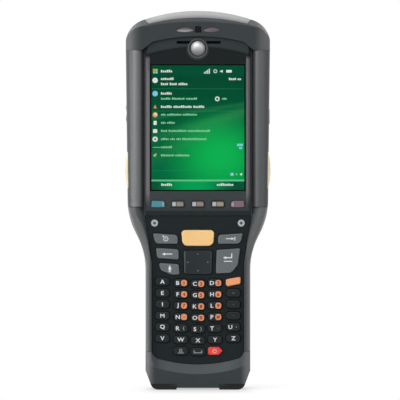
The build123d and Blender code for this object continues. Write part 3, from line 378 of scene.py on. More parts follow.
def woven(name, colour):
    """Nylon webbing: ribs across the band, broken by the weave, a little fuzz."""
    finish = Finish(name, Specular_IOR_Level=0.25, Sheen_Weight=0.3, Sheen_Roughness=0.5)
    up = (finish.along("Z") / RIB_PITCH).fraction() - 0.5
    across = (finish.along("X") / YARN_PITCH).fraction() - 0.5
    rib = 1 - 4 * up * up
    yarn = 1 - 4 * across * across
    cloth = rib * (0.65 + 0.35 * yarn)
    fuzz = finish.noise(GRIT, 3.0)
    # painted shade: the colour darkens down into the hollows between ribs and yarns, where the relief is low
    base = finish.blend(cloth, shade(colour, 0.45), shade(colour, 1.35))
    finish.set("Base Color", finish.blend(fuzz * 0.25, base, shade(colour, 2.0, 0.01)))
    finish.set("Roughness", 0.75 + 0.15 * fuzz)
    finish.set("Normal", finish.bump(cloth + 0.3 * fuzz, WEAVE_DEPTH))
    return finish.material


# -------- zones of the finishes, most of them painted highlights and shade
# Places are in millimetres: X from the middle, Z up from the standing face.
GRIP_HALF = 32.3 * MM
HEAD_GROWTH = 11.05 * MM  # how much wider the head is on each side
SHOULDERS = (74, 117)  # where they start and end
ARCH_HALF = 31  # from the middle to the end of the arched seams
ARCH_BLUR = 0.3 * MM
BADGE_Z = 210.18
PAD_Z = 78.48  # middle of the navigation pad


def front_only(finish):
    """1 on the front, 0 from a little behind it."""
    return finish.fade("Y", -11, -17)


def from_side(finish):
    """Distance from the side of the grip and its shoulders, inwards."""
    return GRIP_HALF + HEAD_GROWTH * finish.fade("Z", *SHOULDERS) - finish.along("X").absolute()


def beside_display_light(finish):
    """Down in the grooves between the display bezel and the rails, painted lighter to lift the shade that
    lies in them.
    """
    return finish.fade_sideways(35.0, 34.2) * finish.fade("Z", 107, 109)


def grip_edge_highlight(finish):
    """Painted highlight on the front corners of the grip, as if lit from the sides."""
    return from_side(finish).between(1.5 * MM, 0) * front_only(finish) * 0.9


def grip_inner_shade(finish):
    """Painted shade beside the keypad, inside the grip's lit front corners; the band is wider on the
    shoulders.
    """
    wider = finish.fade("Z", 74, 100)
    depth = from_side(finish) - (1.3 * MM + 2.4 * MM * wider)
    return (depth / (2.0 * MM + 3.2 * MM * wider)).between(0, 1) * front_only(finish) * 0.85


def cap_edge_highlight(finish):
    """Painted highlight on the front corners of the cap."""
    return from_side(finish).between(6.5 * MM, 0) * front_only(finish) * 0.85


def lit_facet(finish):
    """The sloping face below the keypad, painted lighter as if lit from above, with that painted light
    weaker towards its ends.
    """
    half = 28.4
    above = finish.above_arch(9.6, -4.8, half).between(-ARCH_BLUR, ARCH_BLUR)
    return above * front_only(finish) * (1 - 0.55 * finish.fade_sideways(0.6 * half, 0.95 * half))


def skid_tops(finish):
    """The skids' upper edges in front, moulded in the cap's colour."""
    line = 1.9 * MM + 0.32 * (finish.along("X").absolute() - 14 * MM)
    return (finish.along("Z") - line).between(-ARCH_BLUR, ARCH_BLUR) * front_only(finish)


def rail_flank_shade(finish):
    """Painted shade on the rails' inner edges and outer sides, which stay darker than their crest."""
    return 0.8 * finish.fade_sideways(37.4, 34.2) + 0.6 * finish.fade_sideways(39.6, 42.2)


def rail_crest_highlight(finish):
    """Painted highlight on the left rail's crest, stronger near its top."""
    crest = (1 - ((finish.along("X") + 39.0 * MM) / (2.3 * MM)).absolute()).between(0, 1)
    return crest * (0.25 + 0.25 * finish.fade("Z", 110, 190))


def right_rail_shade(finish):
    """Painted shade over all of the right rail, which is a little darker, more so near its foot."""
    return finish.fade("X", 0, 1) * (0.95 - 0.2 * finish.fade("Z", 110, 200))


def strip_foot(finish):
    """The light strip's lower edge and its two ends, which turn away from the light."""
    low = finish.above_arch(228.6, 4, ARCH_HALF).between(3.5 * MM, 0.2 * MM)
    ends = finish.fade_sideways(0.8 * ARCH_HALF, 1.05 * ARCH_HALF)
    return finish.maths("MAXIMUM", low * 0.7, ends * 0.3)


def cover_crest_highlight(finish):
    """Painted highlight on the top cover just below the light strip."""
    above = finish.above_arch(226.6, 2.6, ARCH_HALF).between(-0.7 * MM, 0.9 * MM)
    return above * front_only(finish) * 0.8


def cover_side_highlights(finish):
    """Painted highlight on the front corners of the top cover."""
    return finish.fade_sideways(34, 44) * front_only(finish) * 0.7


def brow(finish):
    """Painted shade on the bezel above the window, in its hollow."""
    return finish.fade("Z", 199.6, 200.8)


def brow_band(finish):
    """The band between the brow's hollow and the top cover."""
    return finish.above_arch(211.3, 4.3, ARCH_HALF).between(-0.8 * MM, 0.6 * MM)


def badge_rim_light(finish):
    """The bezel's raised rim round the badge, lifted out of the brow's painted shade, with a painted
    highlight that is stronger below.
    """
    rim = finish.around(BADGE_Z).between(7.4 * MM, 6.8 * MM)
    return rim * (0.35 + 0.65 * finish.fade("Z", BADGE_Z + 1, BADGE_Z - 4))


def bezel_slope_shade(finish):
    """Painted shade on the bezel's lower edge, which slopes down to the keypad."""
    return finish.fade("Z", 110.6, 109.8)


def bezel_strip_highlights(finish):
    """Painted highlight on the bezel's narrow strips beside the window."""
    return finish.fade_sideways(29.5, 30.0) * finish.fade("Z", 206, 203) * finish.fade("Z", 112, 124) * 0.9


def badge_edge_shade(finish):
    """Painted shade on the badge toward its rim, where the dome turns away."""
    return finish.around(210.0).between(2.4 * MM, 4.2 * MM) * 0.85


def badge_foot_shade(finish):
    """Painted shade on the lower part of the badge, where it looks down."""
    return finish.fade("Z", 213.5, 206.5)


def pad_rim_highlights(finish):
    """Painted highlight on the navigation pad's raised rims, the left one brightest."""
    out = finish.fade("X", -7.2, -8.2) + 0.3 * finish.fade("X", 7.2, 8.2)
    up = (finish.along("Z") - PAD_Z * MM).absolute().between(6.6 * MM, 7.6 * MM)
    return finish.maths("MAXIMUM", out, up) * 0.55


SLOT_FINISHES = {
    "housing": moulded(
        "grip plastic", paint(96, 99, 100), 0.42, edge=0.5 * MM,
        zones={beside_display_light: paint(104, 108, 112), grip_inner_shade: paint(47, 52, 54),
               grip_edge_highlight: paint(150, 145, 149)}),
    "cap": moulded(
        "cap plastic", paint(42, 49, 51), 0.5,
        zones={lit_facet: paint(68, 76, 78), cap_edge_highlight: paint(126, 124, 128)}),
    "cover": moulded(
        "cover plastic", paint(40, 47, 49), 0.5,
        zones={cover_crest_highlight: paint(82, 86, 89), cover_side_highlights: paint(122, 121, 124)}),
    "top_strip": moulded(
        "top strip plastic", paint(180, 179, 180), 0.4, edge_wear_and_light=0.1, depth=0.003 * MM,
        zones={strip_foot: paint(100, 98, 102)}),
    "rail": moulded(
        "rail plastic", paint(108, 111, 112), 0.36, 0.4,
        zones={rail_crest_highlight: paint(158, 158, 160), right_rail_shade: paint(76, 80, 82),
               rail_flank_shade: paint(34, 38, 40)}),
    "feet": rubbery("skid rubber", paint(30, 32, 32), zones={skid_tops: paint(42, 49, 51)}),
    "bezel": moulded(
        "bezel plastic", paint(54, 61, 63), 0.5, 0.15,
        zones={brow: paint(14, 20, 22), brow_band: paint(45, 53, 55), badge_rim_light: paint(56, 64, 63),
               bezel_slope_shade: paint(35, 42, 44), bezel_strip_highlights: paint(114, 112, 116)}),
    "glass": glass("touch panel glass"),
    "display": lit_display("lit display", *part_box("touch_panel")),
    "badge": steel(
        "badge metal", paint(214, 214, 215), 0.36,
        zones={badge_foot_shade: paint(120, 122, 124), badge_edge_shade: paint(112, 113, 115)}),
    # The receiver's dark felt grey is lifted lighter, as painted light in the shade behind its slots.
    "receiver": ink("receiver felt", paint(40, 46, 46), roughness=0.9),
    "light_pipe": light_guide("light guide"),
    "tinted_window": tinted("scan window tint", paint(9, 7, 9)),
    "keypad_frame": moulded("keypad plastic", paint(25, 32, 34), 0.5, 0.12),
    "mat": rubbery("keypad silicone", paint(16, 17, 18)),
    "board": ink("board mask", paint(20, 84, 50), roughness=0.35),
    "screw": steel("screw steel", (0.42, 0.43, 0.44, 1.0), 0.4),
    "engine": ink("engine black", paint(18, 18, 19), roughness=0.4),
    "camera": tinted("camera black", paint(12, 12, 14)),
    "connector": ink("connector black", paint(20, 20, 21), roughness=0.45),
    "battery": moulded("battery plastic", paint(46, 50, 51), 0.5, edge=0.5 * MM),
    "latch": moulded("latch plastic", paint(74, 78, 79), 0.45),
    "webbing": woven("strap webbing", paint(34, 34, 37)),
    "clip": moulded("clip plastic", paint(34, 36, 37), 0.45),
    "trigger": moulded("trigger plastic", paint(248, 233, 190), 0.4, edge_wear_and_light=0.1),
    "side_key": rubbery("side key rubber", paint(48, 51, 52)),
    # The pad's, the scan key's, the grey keys' and the letter keys' strongly lightened edges are mainly a
    # painted highlight along their rims.
    "nav_pad": moulded(
        "pad plastic", paint(32, 39, 42), 0.42, 0.2, edge_wear_and_light=0.6, zones={pad_rim_highlights: paint(96, 108, 116)}),
    "scan_key": moulded(
        "scan key plastic", paint(255, 201, 136), 0.4, grain=0.2 * MM, depth=0.003 * MM, edge=0.5 * MM,
        edge_wear_and_light=0.9),
    "orange_key": moulded("modifier key plastic", paint(246, 158, 112), 0.4, depth=0.003 * MM, edge_wear_and_light=0.5),
    "red_key": moulded("power key plastic", paint(236, 70, 64), 0.4, depth=0.003 * MM, edge_wear_and_light=0.4),
    "grey_key": moulded(
        "grey key plastic", paint(96, 103, 105), 0.42, depth=0.005 * MM, edge=0.4 * MM, edge_wear_and_light=1.0),
    "letter_key": moulded(
        "letter key plastic", paint(25, 31, 33), 0.42, 0.2, depth=0.004 * MM, edge=0.45 * MM, edge_wear_and_light=1.0),
    "teal_key": moulded("teal key plastic", paint(72, 134, 146), 0.4, depth=0.003 * MM, edge_wear_and_light=0.3),
    "function_key": moulded("function key plastic", paint(62, 66, 68), 0.4, depth=0.003 * MM, edge_wear_and_light=0.4),
    "pink_key": moulded("plum key plastic", paint(122, 98, 107), 0.4, depth=0.003 * MM, edge_wear_and_light=0.3),
}

for row in frame["record"]["subparts"]:
    part = frame["nodes"][row["node"]]
    part.data.materials.clear()
    part.data.materials.append(SLOT_FINISHES[row["material_slot"]])


# -------- marks on faces
PRINT_LIFT = 0.03 * MM
PRINT_STEP = 0.001 * MM  # each shape lies this much above the one before, so that none share a plane
PRINT_ROOT = 0.02 * MM  # how far the ink reaches into the face that carries it
CAP_SHARE = 0.73  # height of a capital letter over the size of its type
BOLD = 0.07  # millimetres added round each letter's strokes
WIDE = 1.15  # letters are drawn this much wider than the type
THIN_JOINTS = "M4*,"  # characters whose corners fold over when they are made bolder
CORNER_STEPS, ARC_STEPS = 4, 20


class Print:
    """A thin layer of ink on a face that looks towards -Y, or +Y if facing is 1.

    Shapes are in millimetres, measured from a middle (x, z).
    """

    def __init__(self, face_y, facing=-1, lift=PRINT_LIFT, step=PRINT_STEP, middle=(0, 0)):
        self.build = bmesh.new()
        self.face_y = face_y
        self.facing = facing
        self.step = step
        self.middle = middle
        self.y = face_y + facing * lift

    def corner(self, x, z):
        """A corner of the shape being drawn."""
        return self.build.verts.new(((self.middle[0] + x) * MM, self.y, (self.middle[1] + z) * MM))

    def shape(self, points):
        """A filled outline; from the front its points run anticlockwise."""
        corners = [self.corner(x, z) for x, z in points]
        self.build.faces.new(corners[::-self.facing])
        self.y += self.facing * self.step

    def bar(self, x, z, width, height, corner=0.0):
        """A bar about its middle, with round corners."""
        steps = CORNER_STEPS if corner else 0
        points = []
        for quarter, (sx, sz) in enumerate(((1, 1), (-1, 1), (-1, -1), (1, -1))):
            middle = (x + sx * (width / 2 - corner), z + sz * (height / 2 - corner))
            for step in range(steps + 1):
                angle = math.radians(90 * quarter + 90 * step / max(steps, 1))
                points.append((middle[0] + corner * math.cos(angle), middle[1] + corner * math.sin(angle)))
        self.shape(points)

    def stroke(self, points, width):
        """A line of even width through the points."""
        for (x1, z1), (x2, z2) in zip(points, points[1:]):
            run = Vector((x2 - x1, z2 - z1)).normalized() * width / 2
            ends = [(x1 - run.x, z1 - run.y), (x2 + run.x, z2 + run.y)]
            side = (run.y, -run.x)
            (ax, az), (bx, bz) = ends
            self.shape([(ax + side[0], az + side[1]), (bx + side[0], bz + side[1]),
                        (bx - side[0], bz - side[1]), (ax - side[0], az - side[1])])

    def arc(self, x, z, radius, width, start=0, turn=360):
        """A ring, or part of one, from a start angle in degrees."""
        angles = [math.radians(start + turn * i / ARC_STEPS) for i in range(ARC_STEPS + 1)]
        rims = [[(x + r * math.cos(a), z + r * math.sin(a)) for a in angles]
                for r in (radius - width / 2, radius + width / 2)]
        for i in range(ARC_STEPS):
            self.shape([rims[0][i], rims[1][i], rims[1][i + 1], rims[0][i + 1]])

    def disc(self, x, z, radius, steps=16):
        angles = [math.tau * i / steps for i in range(steps)]
        self.shape([(x + radius * math.cos(a), z + radius * math.sin(a)) for a in angles])

    def arrow(self, x, z, size, way):
        """A filled triangle that points along way, in degrees."""
        angles = [math.radians(way + turn) for turn in (0, 130, 230)]
        self.shape([(x + size * math.cos(a), z + size * math.sin(a)) for a in angles])

    def glyph(self, text, x, z, height):
        """A letter or digit of the built-in face, centred on a point."""
        curve = bpy.data.curves.new("glyph", "FONT")
        curve.body = text
        curve.size = height / CAP_SHARE
        curve.resolution_u = 3
        folds = text in THIN_JOINTS
        curve.offset = 0.0 if folds else BOLD
        holder = bpy.data.objects.new("glyph", curve)
        mesh = bpy.data.meshes.new_from_object(holder)
        for vertex in mesh.vertices:
            vertex.co.x *= WIDE
        xs = [v.co.x for v in mesh.vertices]
        zs = [v.co.y for v in mesh.vertices]
        dx = x - (min(xs) + max(xs)) / 2
        dz = z - (min(zs) + max(zs)) / 2
        for shift in (-BOLD, BOLD) if folds else (0.0,):
            corners = [self.corner(v.co.x + dx + shift, v.co.y + dz) for v in mesh.vertices]
            for face in mesh.polygons:
                self.build.faces.new([corners[i] for i in face.vertices])
            self.y += self.facing * self.step
        bpy.data.objects.remove(holder)
        bpy.data.meshes.remove(mesh)
        bpy.data.curves.remove(curve)

    def piece(self, name, body, material):
        """Makes the ink one closed piece that moves with a body."""
        build = self.build
        bmesh.ops.remove_doubles(build, verts=build.verts, dist=PRINT_STEP / 2)
        bmesh.ops.dissolve_limit(build, angle_limit=math.radians(1), verts=build.verts, edges=build.edges)
        bmesh.ops.triangulate(build, faces=build.faces, quad_method="BEAUTY", ngon_method="BEAUTY")
        bmesh.ops.beautify_fill(build, faces=build.faces, edges=build.edges, method="ANGLE")
        made = make_piece(build, name, body, material)
        layer = made.modifiers.new("layer", "SOLIDIFY")
        layer.thickness = abs(self.y - self.face_y) + PRINT_ROOT
        layer.offset = -1


def put(name, data):
    """A new object in the scene."""
    made = bpy.data.objects.new(name, data)
    bpy.context.scene.collection.objects.link(made)
    return made


def make_piece(build, name, body, material, smooth=False):
    """Turns a built mesh into a piece that rides on a body."""
    mesh = bpy.data.meshes.new(name)
    build.to_mesh(mesh)
    build.free()
    for face in mesh.polygons:
        face.use_smooth = smooth
    mesh.materials.append(material)
    made = put(name, mesh)
    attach(made, body)
    return made


# -------- legends of the keys
# Places and sizes are in millimetres.
KEY_COLUMNS = (-21.85, -10.55, 0.0, 10.55, 21.85)
COLUMN_LIFT = (1.3, 0.5, 0.0, 0.5, 1.3)  # the rows sag in the middle
FIRST_ROW_Z = 23.3  # one row below the lowest letters
ROW_PITCH = 6.98
LETTER_ROWS = ("ABCD", "EFGH~", "IJKL.", "MNOP,", "QRSTU", "VWXYZ")
DIGIT_ROWS = ("123", "456", "789", "*0#")
SIGNS = "~.,"  # these stand alone on the last key of a row
SIGNED_ROW = 4  # the row whose letters share their keys with the signs below
ROW_SIGNS = ((1, "("), (2, ")"), (3, "-"), (4, "+"))
SHIFTED = 1.85  # letters and digits that share a key stand this far left and right of its middle
POD_SHIFT = SHIFTED + 0.15
POD = (3.6, 3.7, 1.35)  # width, height and corner of a digit's pod
LETTER_H, DIGIT_H, STAR_H, BRACKET_H, TILDE_H, SIGN_H = 2.45, 2.1, 1.302, 1.9, 1.0, 0.9

white_ink = ink("white legend", paint(226, 229, 229))
pale_ink = ink("pale legend", paint(150, 156, 158))
faint_ink = ink("faint legend", paint(104, 110, 112))
soft_ink = ink("soft white legend", paint(178, 186, 184), vary=0.25)
orange_ink = ink("orange pod", paint(228, 146, 104))
brown_ink = ink("digit brown", paint(92, 42, 26))
power_ink = ink("power symbol", paint(255, 190, 186))
# painted shade that stands for the inside of the screws' sockets
socket_shade_ink = ink("socket shadow", paint(62, 64, 66))
accent_inks = [ink(f"muted accent {index}", colour, vary=0.25) for index, colour in enumerate(
    (paint(146, 130, 122), paint(150, 124, 124), paint(156, 142, 122)), start=1)]


def key_centre(row, column):
    """Middle of a letter key; rows count from the top."""
    height = FIRST_ROW_Z + (len(LETTER_ROWS) - row) * ROW_PITCH + COLUMN_LIFT[column]
    return KEY_COLUMNS[column], height


def label_row(row, letters):
    """The letters, digits on their pods and small signs of one row of keys."""
    body = f"letter_keys_row_{row + 1}"
    face_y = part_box(body)[0].y
    mark, signs = Print(face_y), Print(face_y)
    for column, letter in enumerate(letters):
        x, z = key_centre(row, column)
        if letter in SIGNS:
            signs.glyph(letter, x, z, TILDE_H if letter == "~" else SIGN_H)
        else:
            shared = 0 < column < 4 and row <= SIGNED_ROW or row == SIGNED_ROW and column == 4
            mark.glyph(letter, x - SHIFTED * shared, z, LETTER_H)
    mark.piece(f"letters_row_{row + 1}", body, white_ink)
    if row < len(DIGIT_ROWS):
        pods, mark = Print(face_y), Print(face_y, lift=2 * PRINT_LIFT)
        for column, digit in enumerate(DIGIT_ROWS[row], start=1):
            x, z = key_centre(row, column)
            pods.bar(x + POD_SHIFT, z, *POD)
            mark.glyph(digit, x + POD_SHIFT, z, STAR_H if digit == "*" else DIGIT_H)
        pods.piece(f"digit_pods_row_{row + 1}", body, orange_ink)
        mark.piece(f"digits_row_{row + 1}", body, brown_ink)
    if row == SIGNED_ROW:
        for column, sign in ROW_SIGNS:
            x, z = key_centre(row, column)
            signs.glyph(sign, x + SHIFTED, z, BRACKET_H if sign in "()" else SIGN_H)
    if signs.build.faces:
        signs.piece(f"small_symbols_row_{row + 1}", body, pale_ink)
    else:
        signs.build.free()


for row, letters in enumerate(LETTER_ROWS):
    label_row(row, letters)


def label(piece, node, colour, *shapes):
    """A mark on a large key; each shape is its kind and its sizes, from the key's middle."""
    low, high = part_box(node)
    middle = (low + high) / 2 / MM
    mark = Print(low.y, middle=(middle.x, middle.z))
    for kind, *sizes in shapes:
        getattr(mark, kind)(*sizes)
    mark.piece(piece, node, colour)


def symbol(key, colour, *shapes):
    label(f"{key}_symbol", f"key_{key}", colour, *shapes)


symbol("escape", white_ink, ("arc", 0.4, -0.2, 1.35, 0.42, 170, 290),
       ("stroke", [(0.5, -0.3), (-1.0, 1.2)], 0.42), ("arrow", -1.2, 1.4, 0.8, 135))
symbol("tab", white_ink, ("stroke", [(-2.6, -0.1), (1.0, -0.1)], 0.5),
       ("arrow", 1.2, -0.1, 1.0, 0), ("bar", 2.6, -0.1, 0.5, 2.3))
symbol("backspace", white_ink, ("arrow", -2.2, -0.1, 1.2, 180), ("stroke", [(-1.6, -0.1), (2.8, -0.1)], 0.6))
symbol("shift", white_ink, ("arrow", 0.6, 0.7, 1.5, 90),
       ("bar", 0.6, -0.6, 1.1, 1.3), ("bar", 0.6, -1.7, 1.5, 0.4))
symbol("enter", white_ink, ("stroke", [(2.2, 4.2), (2.2, 1.9), (-1.6, 1.9)], 0.6),
       ("arrow", -2.0, 1.9, 1.2, 180), ("bar", 0, -0.3, 5.2, 0.5))
symbol("space", pale_ink, ("stroke", [(-2.3, 0.5), (-2.3, -0.6), (2.3, -0.6), (2.3, 0.5)], 0.5))
symbol("function", pale_ink, ("arc", 0, 0.3, 0.8, 0.4), ("bar", 0, -1.2, 3.6, 0.45))
symbol("power", power_ink, ("arc", -0.6, -0.1, 1.1, 0.38, 120, 300), ("bar", -0.6, 0.8, 0.38, 1.3))
label("pad_arrows", "nav_pad", faint_ink, ("arrow", 6.2, 0, 0.7, 0), ("arrow", 0, 5.2, 0.7, 90),
      ("arrow", -6.2, 0, 0.7, 180), ("arrow", 0, -5.2, 0.7, 270))

label("function_mark_1", "function_key_1", pale_ink, ("bar", 2.9, 0, 1.3, 2.6, 0.3))
for index, accent in enumerate(accent_inks, start=2):
    node = f"function_key_{index}"
    label(f"function_mark_{index}", node, soft_ink, ("bar", -2.3, 0, 2.2, 2.4, 0.4))
    label(f"function_accent_{index}", node, accent, ("bar", 1.3, 0, 4.2, 2.4, 0.4))
label("function_mark_5", "function_key_5", pale_ink, ("bar", -2.9, 0, 1.3, 2.6, 0.3))


# -------- display contents
SCREEN_EDGE = 0.8  # dark border of the lit area
TICKS = (1.0, 1.3, 0.95, 1.0, 1.35, 0.95, 1.25)  # heights of the strokes that stand for letters
TICK_W = 0.72
TICK_PITCH = 1.0
WORD_GAP = 0.7
RULE_H = 0.18
RULE_MARGIN = 0.5
ICON_X = 2.2
TEXT_X = 6.2
HEADING = 1.15  # size of the words in a heading


class Screen:
    """Marks on the display. Across is counted from its left edge, or from the right one where negative."""

    def __init__(self):
        low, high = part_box("touch_panel")
        self.left = low.x / MM + SCREEN_EDGE
        self.right = high.x / MM - SCREEN_EDGE
        self.top = high.z / MM - SCREEN_EDGE
        self.face_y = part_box("lcd_module")[0].y
        self.inks = {}

    def ink(self, colour):
        if colour not in self.inks:
            self.inks[colour] = Print(self.face_y, step=0)
        return self.inks[colour]

    def across(self, x):
        return (self.right if x < 0 else self.left) + x

    def draw(self, colour, kind, x, down, *sizes):
        """One shape of a Print."""
        getattr(self.ink(colour), kind)(self.across(x), self.top - down, *sizes)

    def words(self, x, down, *lengths, colour="white", size=1.0):
        """Unreadable words, as rows of strokes; lengths are in letters."""
        x = self.across(x)
        z = self.top - down
        for length in lengths:
            for letter in range(length):
                tall = TICKS[(letter * 3 + length) % len(TICKS)] * size
                self.ink(colour).bar(x, z + (tall - size) / 2, TICK_W * size, tall)
                x += TICK_PITCH * size
            x += WORD_GAP * size

    def rule(self, down):
        """A hairline across the whole page."""
        wide = self.right - self.left
        self.draw("line", "bar", wide / 2, down, wide - 2 * RULE_MARGIN, RULE_H)

    def finish(self, shades):
        for colour, drawn in self.inks.items():
            drawn.piece(f"screen_{colour}_marks", "body", shades[colour])


FIRST_LIST_ROW = 30.2  # below the top of the page
LIST_PITCH = 5.02
# Each row of the list: the lengths of its words, then the shapes of its icon, about the icon's middle.
LIST_ROWS = (
    ((3, 9, 9), ("amber", "disc", 0, 0, 1.6), ("white", "disc", 0.3, -0.3, 0.9)),
    ((3, 5), ("white", "bar", 0, 0, 1.9, 2.5, 0.3)),
    ((4, 11, 14), ("white", "bar", 0, 0, 2.6, 2.3, 0.3)),
    ((5, 3, 3, 15), ("white", "arc", 0, 0, 1.1, 1.0)),
    ((7,), ("pale", "bar", 0.9, 0, 4.6, 0.35)),
    ((8, 9), ("green", "bar", -0.2, 0, 1.6, 1.2, 0.3), ("amber", "bar", 0.4, -0.9, 1.0, 0.6)),
)


def show_screen():
    """A plain start page: status icons, headings, a list and two soft keys."""
    page = Screen()
    tiles = (("amber", 1.6, 2.6), ("green", 1.6, 4.1), ("green", 3.1, 2.6), ("blue", 3.1, 4.1))
    for colour, x, down in tiles:
        page.draw(colour, "bar", x, down, 1.3, 1.3)
    page.words(TEXT_X, 3.5, 6, size=1.2)
    for step in range(4):
        page.draw("white", "bar", step - 24.5, 4.4 - 0.35 * step, 0.6, 1.0 + 0.7 * step)
    page.draw("white", "arc", -17.8, 3.4, 0.95, 0.4)
    page.draw("white", "arrow", -14.0, 3.4, 1.2, 180)
    page.draw("white", "bar", -9.4, 3.4, 3.4, 1.6)
    page.words(-9.0, 8.3, 4, 2, size=HEADING)

    page.draw("white", "disc", ICON_X, 9.0, 1.7)
    page.words(TEXT_X, 8.2, 7, size=HEADING)
    page.words(TEXT_X, 11.4, 4, 4, 5, size=HEADING)
    page.rule(14.2)
    page.draw("blue", "disc", ICON_X, 17.2, 1.7)
    page.words(TEXT_X, 17.2, 6, size=HEADING)
    page.words(TEXT_X, 20.4, 6, 8, 7, colour="pale")
    page.draw("white", "arc", -16.6, 20.4, 1.1, 0.7)
    page.words(-13.2, 20.4, 3, colour="pale")
    page.words(TEXT_X, 25.4, 6, 10, 6, size=HEADING)
    page.draw("amber", "arrow", ICON_X, 25.4, 1.3, 90)
    page.rule(27.9)

    for index, (lengths, *shapes) in enumerate(LIST_ROWS):
        down = FIRST_LIST_ROW + LIST_PITCH * index
        page.words(TEXT_X, down, *lengths, colour="pale")
        for colour, kind, dx, dz, *sizes in shapes:
            page.draw(colour, kind, ICON_X + dx, down + dz, *sizes)
    page.draw("blue", "bar", -2.6, 48.8, 3.6, 1.5, 0.3)
    page.draw("blue", "bar", -2.2, 50.7, 2.0, 1.2, 0.3)
    page.rule(64.6)
    page.draw("blue", "bar", -7.6, 66.9, 1.8, 1.8, 0.4)
    page.draw("white", "bar", -7.0, 66.8, 0.4, 1.2)
    page.draw("white", "arrow", -4.6, 66.9, 0.5, 0)
    page.draw("white", "arrow", -1.8, 66.8, 1.0, 45)

    page.words(6.4, 73.4, 6, size=HEADING)
    page.words(-16.4, 73.4, 9, size=HEADING)
    page.finish({
        "white": lit_ink("screen white", paint(226, 240, 230)),
        "pale": lit_ink("screen pale green", paint(140, 214, 160)),
        "line": lit_ink("screen line", paint(40, 140, 90)),
        "green": lit_ink("screen light green", paint(150, 214, 110)),
        "amber": lit_ink("screen amber", paint(226, 160, 96)),
        "blue": lit_ink("screen blue", paint(132, 206, 232)),
    })


show_screen()


# -------- small fittings
# Sizes and places of the screws' sockets are in millimetres.
SOCKET_CORE, LOBE_REACH, LOBE_R = 0.76, 0.7125, 0.285
LOBES = 6
KEYPAD_SCREWS = ((-26.7, 102.58), (26.7, 102.58))
KEYPAD_SCREW_Y = -20.95
REAR_SCREWS = ((-28.95, 202.98), (28.95, 202.98), (-28.95, 176.98), (28.95, 176.98))
REAR_SCREW_Y = 24.4


def screw_sockets(name, places, face_y, facing):
    """Dark six-lobed marks in the faces of screws, painted as the shade inside their sockets."""
    sockets = Print(face_y * MM, facing)
    for x, z in places:
        sockets.disc(x, z, SOCKET_CORE, 12)
        for lobe in range(LOBES):
            angle = math.tau * lobe / LOBES
            sockets.disc(x + LOBE_REACH * math.cos(angle), z + LOBE_REACH * math.sin(angle), LOBE_R, 8)
    sockets.piece(name, "body", socket_shade_ink)


screw_sockets("keypad_screw_sockets", KEYPAD_SCREWS, KEYPAD_SCREW_Y, -1)
screw_sockets("rear_screw_sockets", REAR_SCREWS, REAR_SCREW_Y, 1)


def skin(build, loops, closed=False):
    """Faces between each loop of corners and the next, and from the last to the first if closed."""
    after = loops[1:] + loops[:1] if closed else loops[1:]
    for here, there in zip(loops, after):
        for side in range(len(here)):
            other = (side + 1) % len(here)
            build.faces.new((here[side], here[other], there[other], there[side]))


RING_R = 5.75 * MM
RING_THICK = 0.33 * MM  # from the middle of the ring's wire to its skin
RING_Y = -24.0 * MM
RING_TURNS, RING_SIDES = 48, 10


def badge_ring():
    """A thin round ring about the badge."""
    low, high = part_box("badge_dome")
    middle = (low + high) / 2
    build = bmesh.new()
    loops = []
    for a in (math.tau * turn / RING_TURNS for turn in range(RING_TURNS)):
        loops.append([])
        for b in (math.tau * side / RING_SIDES for side in range(RING_SIDES)):
            r = RING_R + RING_THICK * math.cos(b)
            x, z = middle.x + r * math.cos(a), middle.z + r * math.sin(a)
            loops[-1].append(build.verts.new((x, RING_Y + RING_THICK * math.sin(b), z)))
    skin(build, loops, closed=True)
    bmesh.ops.recalc_face_normals(build, faces=build.faces)
    plastic = moulded("ring plastic", paint(78, 82, 83), 0.3, 0.4)
    make_piece(build, "badge_ring", "body", plastic, smooth=True)


SHUT = 0.15 * MM  # width of a shut line
END_FLAT, END_NEAR = 0.99, 0.05 * MM  # how square and how near to its height a moulding's end face is
SEAL_INSET = 0.2 * MM
SEAL_GRIP = 0.02 * MM  # how far the seal sinks into the parts on both sides
CAP_TOP_Z = 23.35 * MM
COVER_FOOT_Z = 209.13 * MM
PARTING_Y = -2.0 * MM  # where the two housings meet
seal_rubber = rubbery("seal rubber", paint(14, 15, 15))


def seam_seal(name, node, axis, height, way):
    """A gasket that fills a shut line beside the flat end of a moulding, a little inside its outline.

    The end lies square to an axis, at a height along it, and looks up (1) or down (-1) that axis.
    """
    build = bmesh.new()
    build.from_mesh(frame["nodes"][node].data)
    other = [face for face in build.faces if face.normal[axis] * way < END_FLAT
             or abs(face.calc_center_median()[axis] - height) > END_NEAR]
    bmesh.ops.delete(build, geom=other, context="FACES")
    rim = bmesh.ops.inset_region(build, faces=build.faces, thickness=SEAL_INSET, use_even_offset=True)
    bmesh.ops.delete(build, geom=rim["faces"], context="FACES")
    out = Vector([way * (index == axis) for index in range(3)])
    bmesh.ops.translate(build, verts=build.verts, vec=-SEAL_GRIP * out)
    raised = bmesh.ops.extrude_face_region(build, geom=build.faces, use_keep_orig=True)["geom"]
    raised = [part for part in raised if isinstance(part, bmesh.types.BMVert)]
    bmesh.ops.translate(build, verts=raised, vec=(SHUT + 2 * SEAL_GRIP) * out)
    bmesh.ops.recalc_face_normals(build, faces=build.faces)
    make_piece(build, name, "body", seal_rubber)


seam_seal("cap_seal", "bottom_cap", 2, CAP_TOP_Z, 1)
seam_seal("cover_seal", "top_cover", 2, COVER_FOOT_Z, -1)
seam_seal("side_seal", "front_housing", 1, PARTING_Y, 1)
badge_ring()


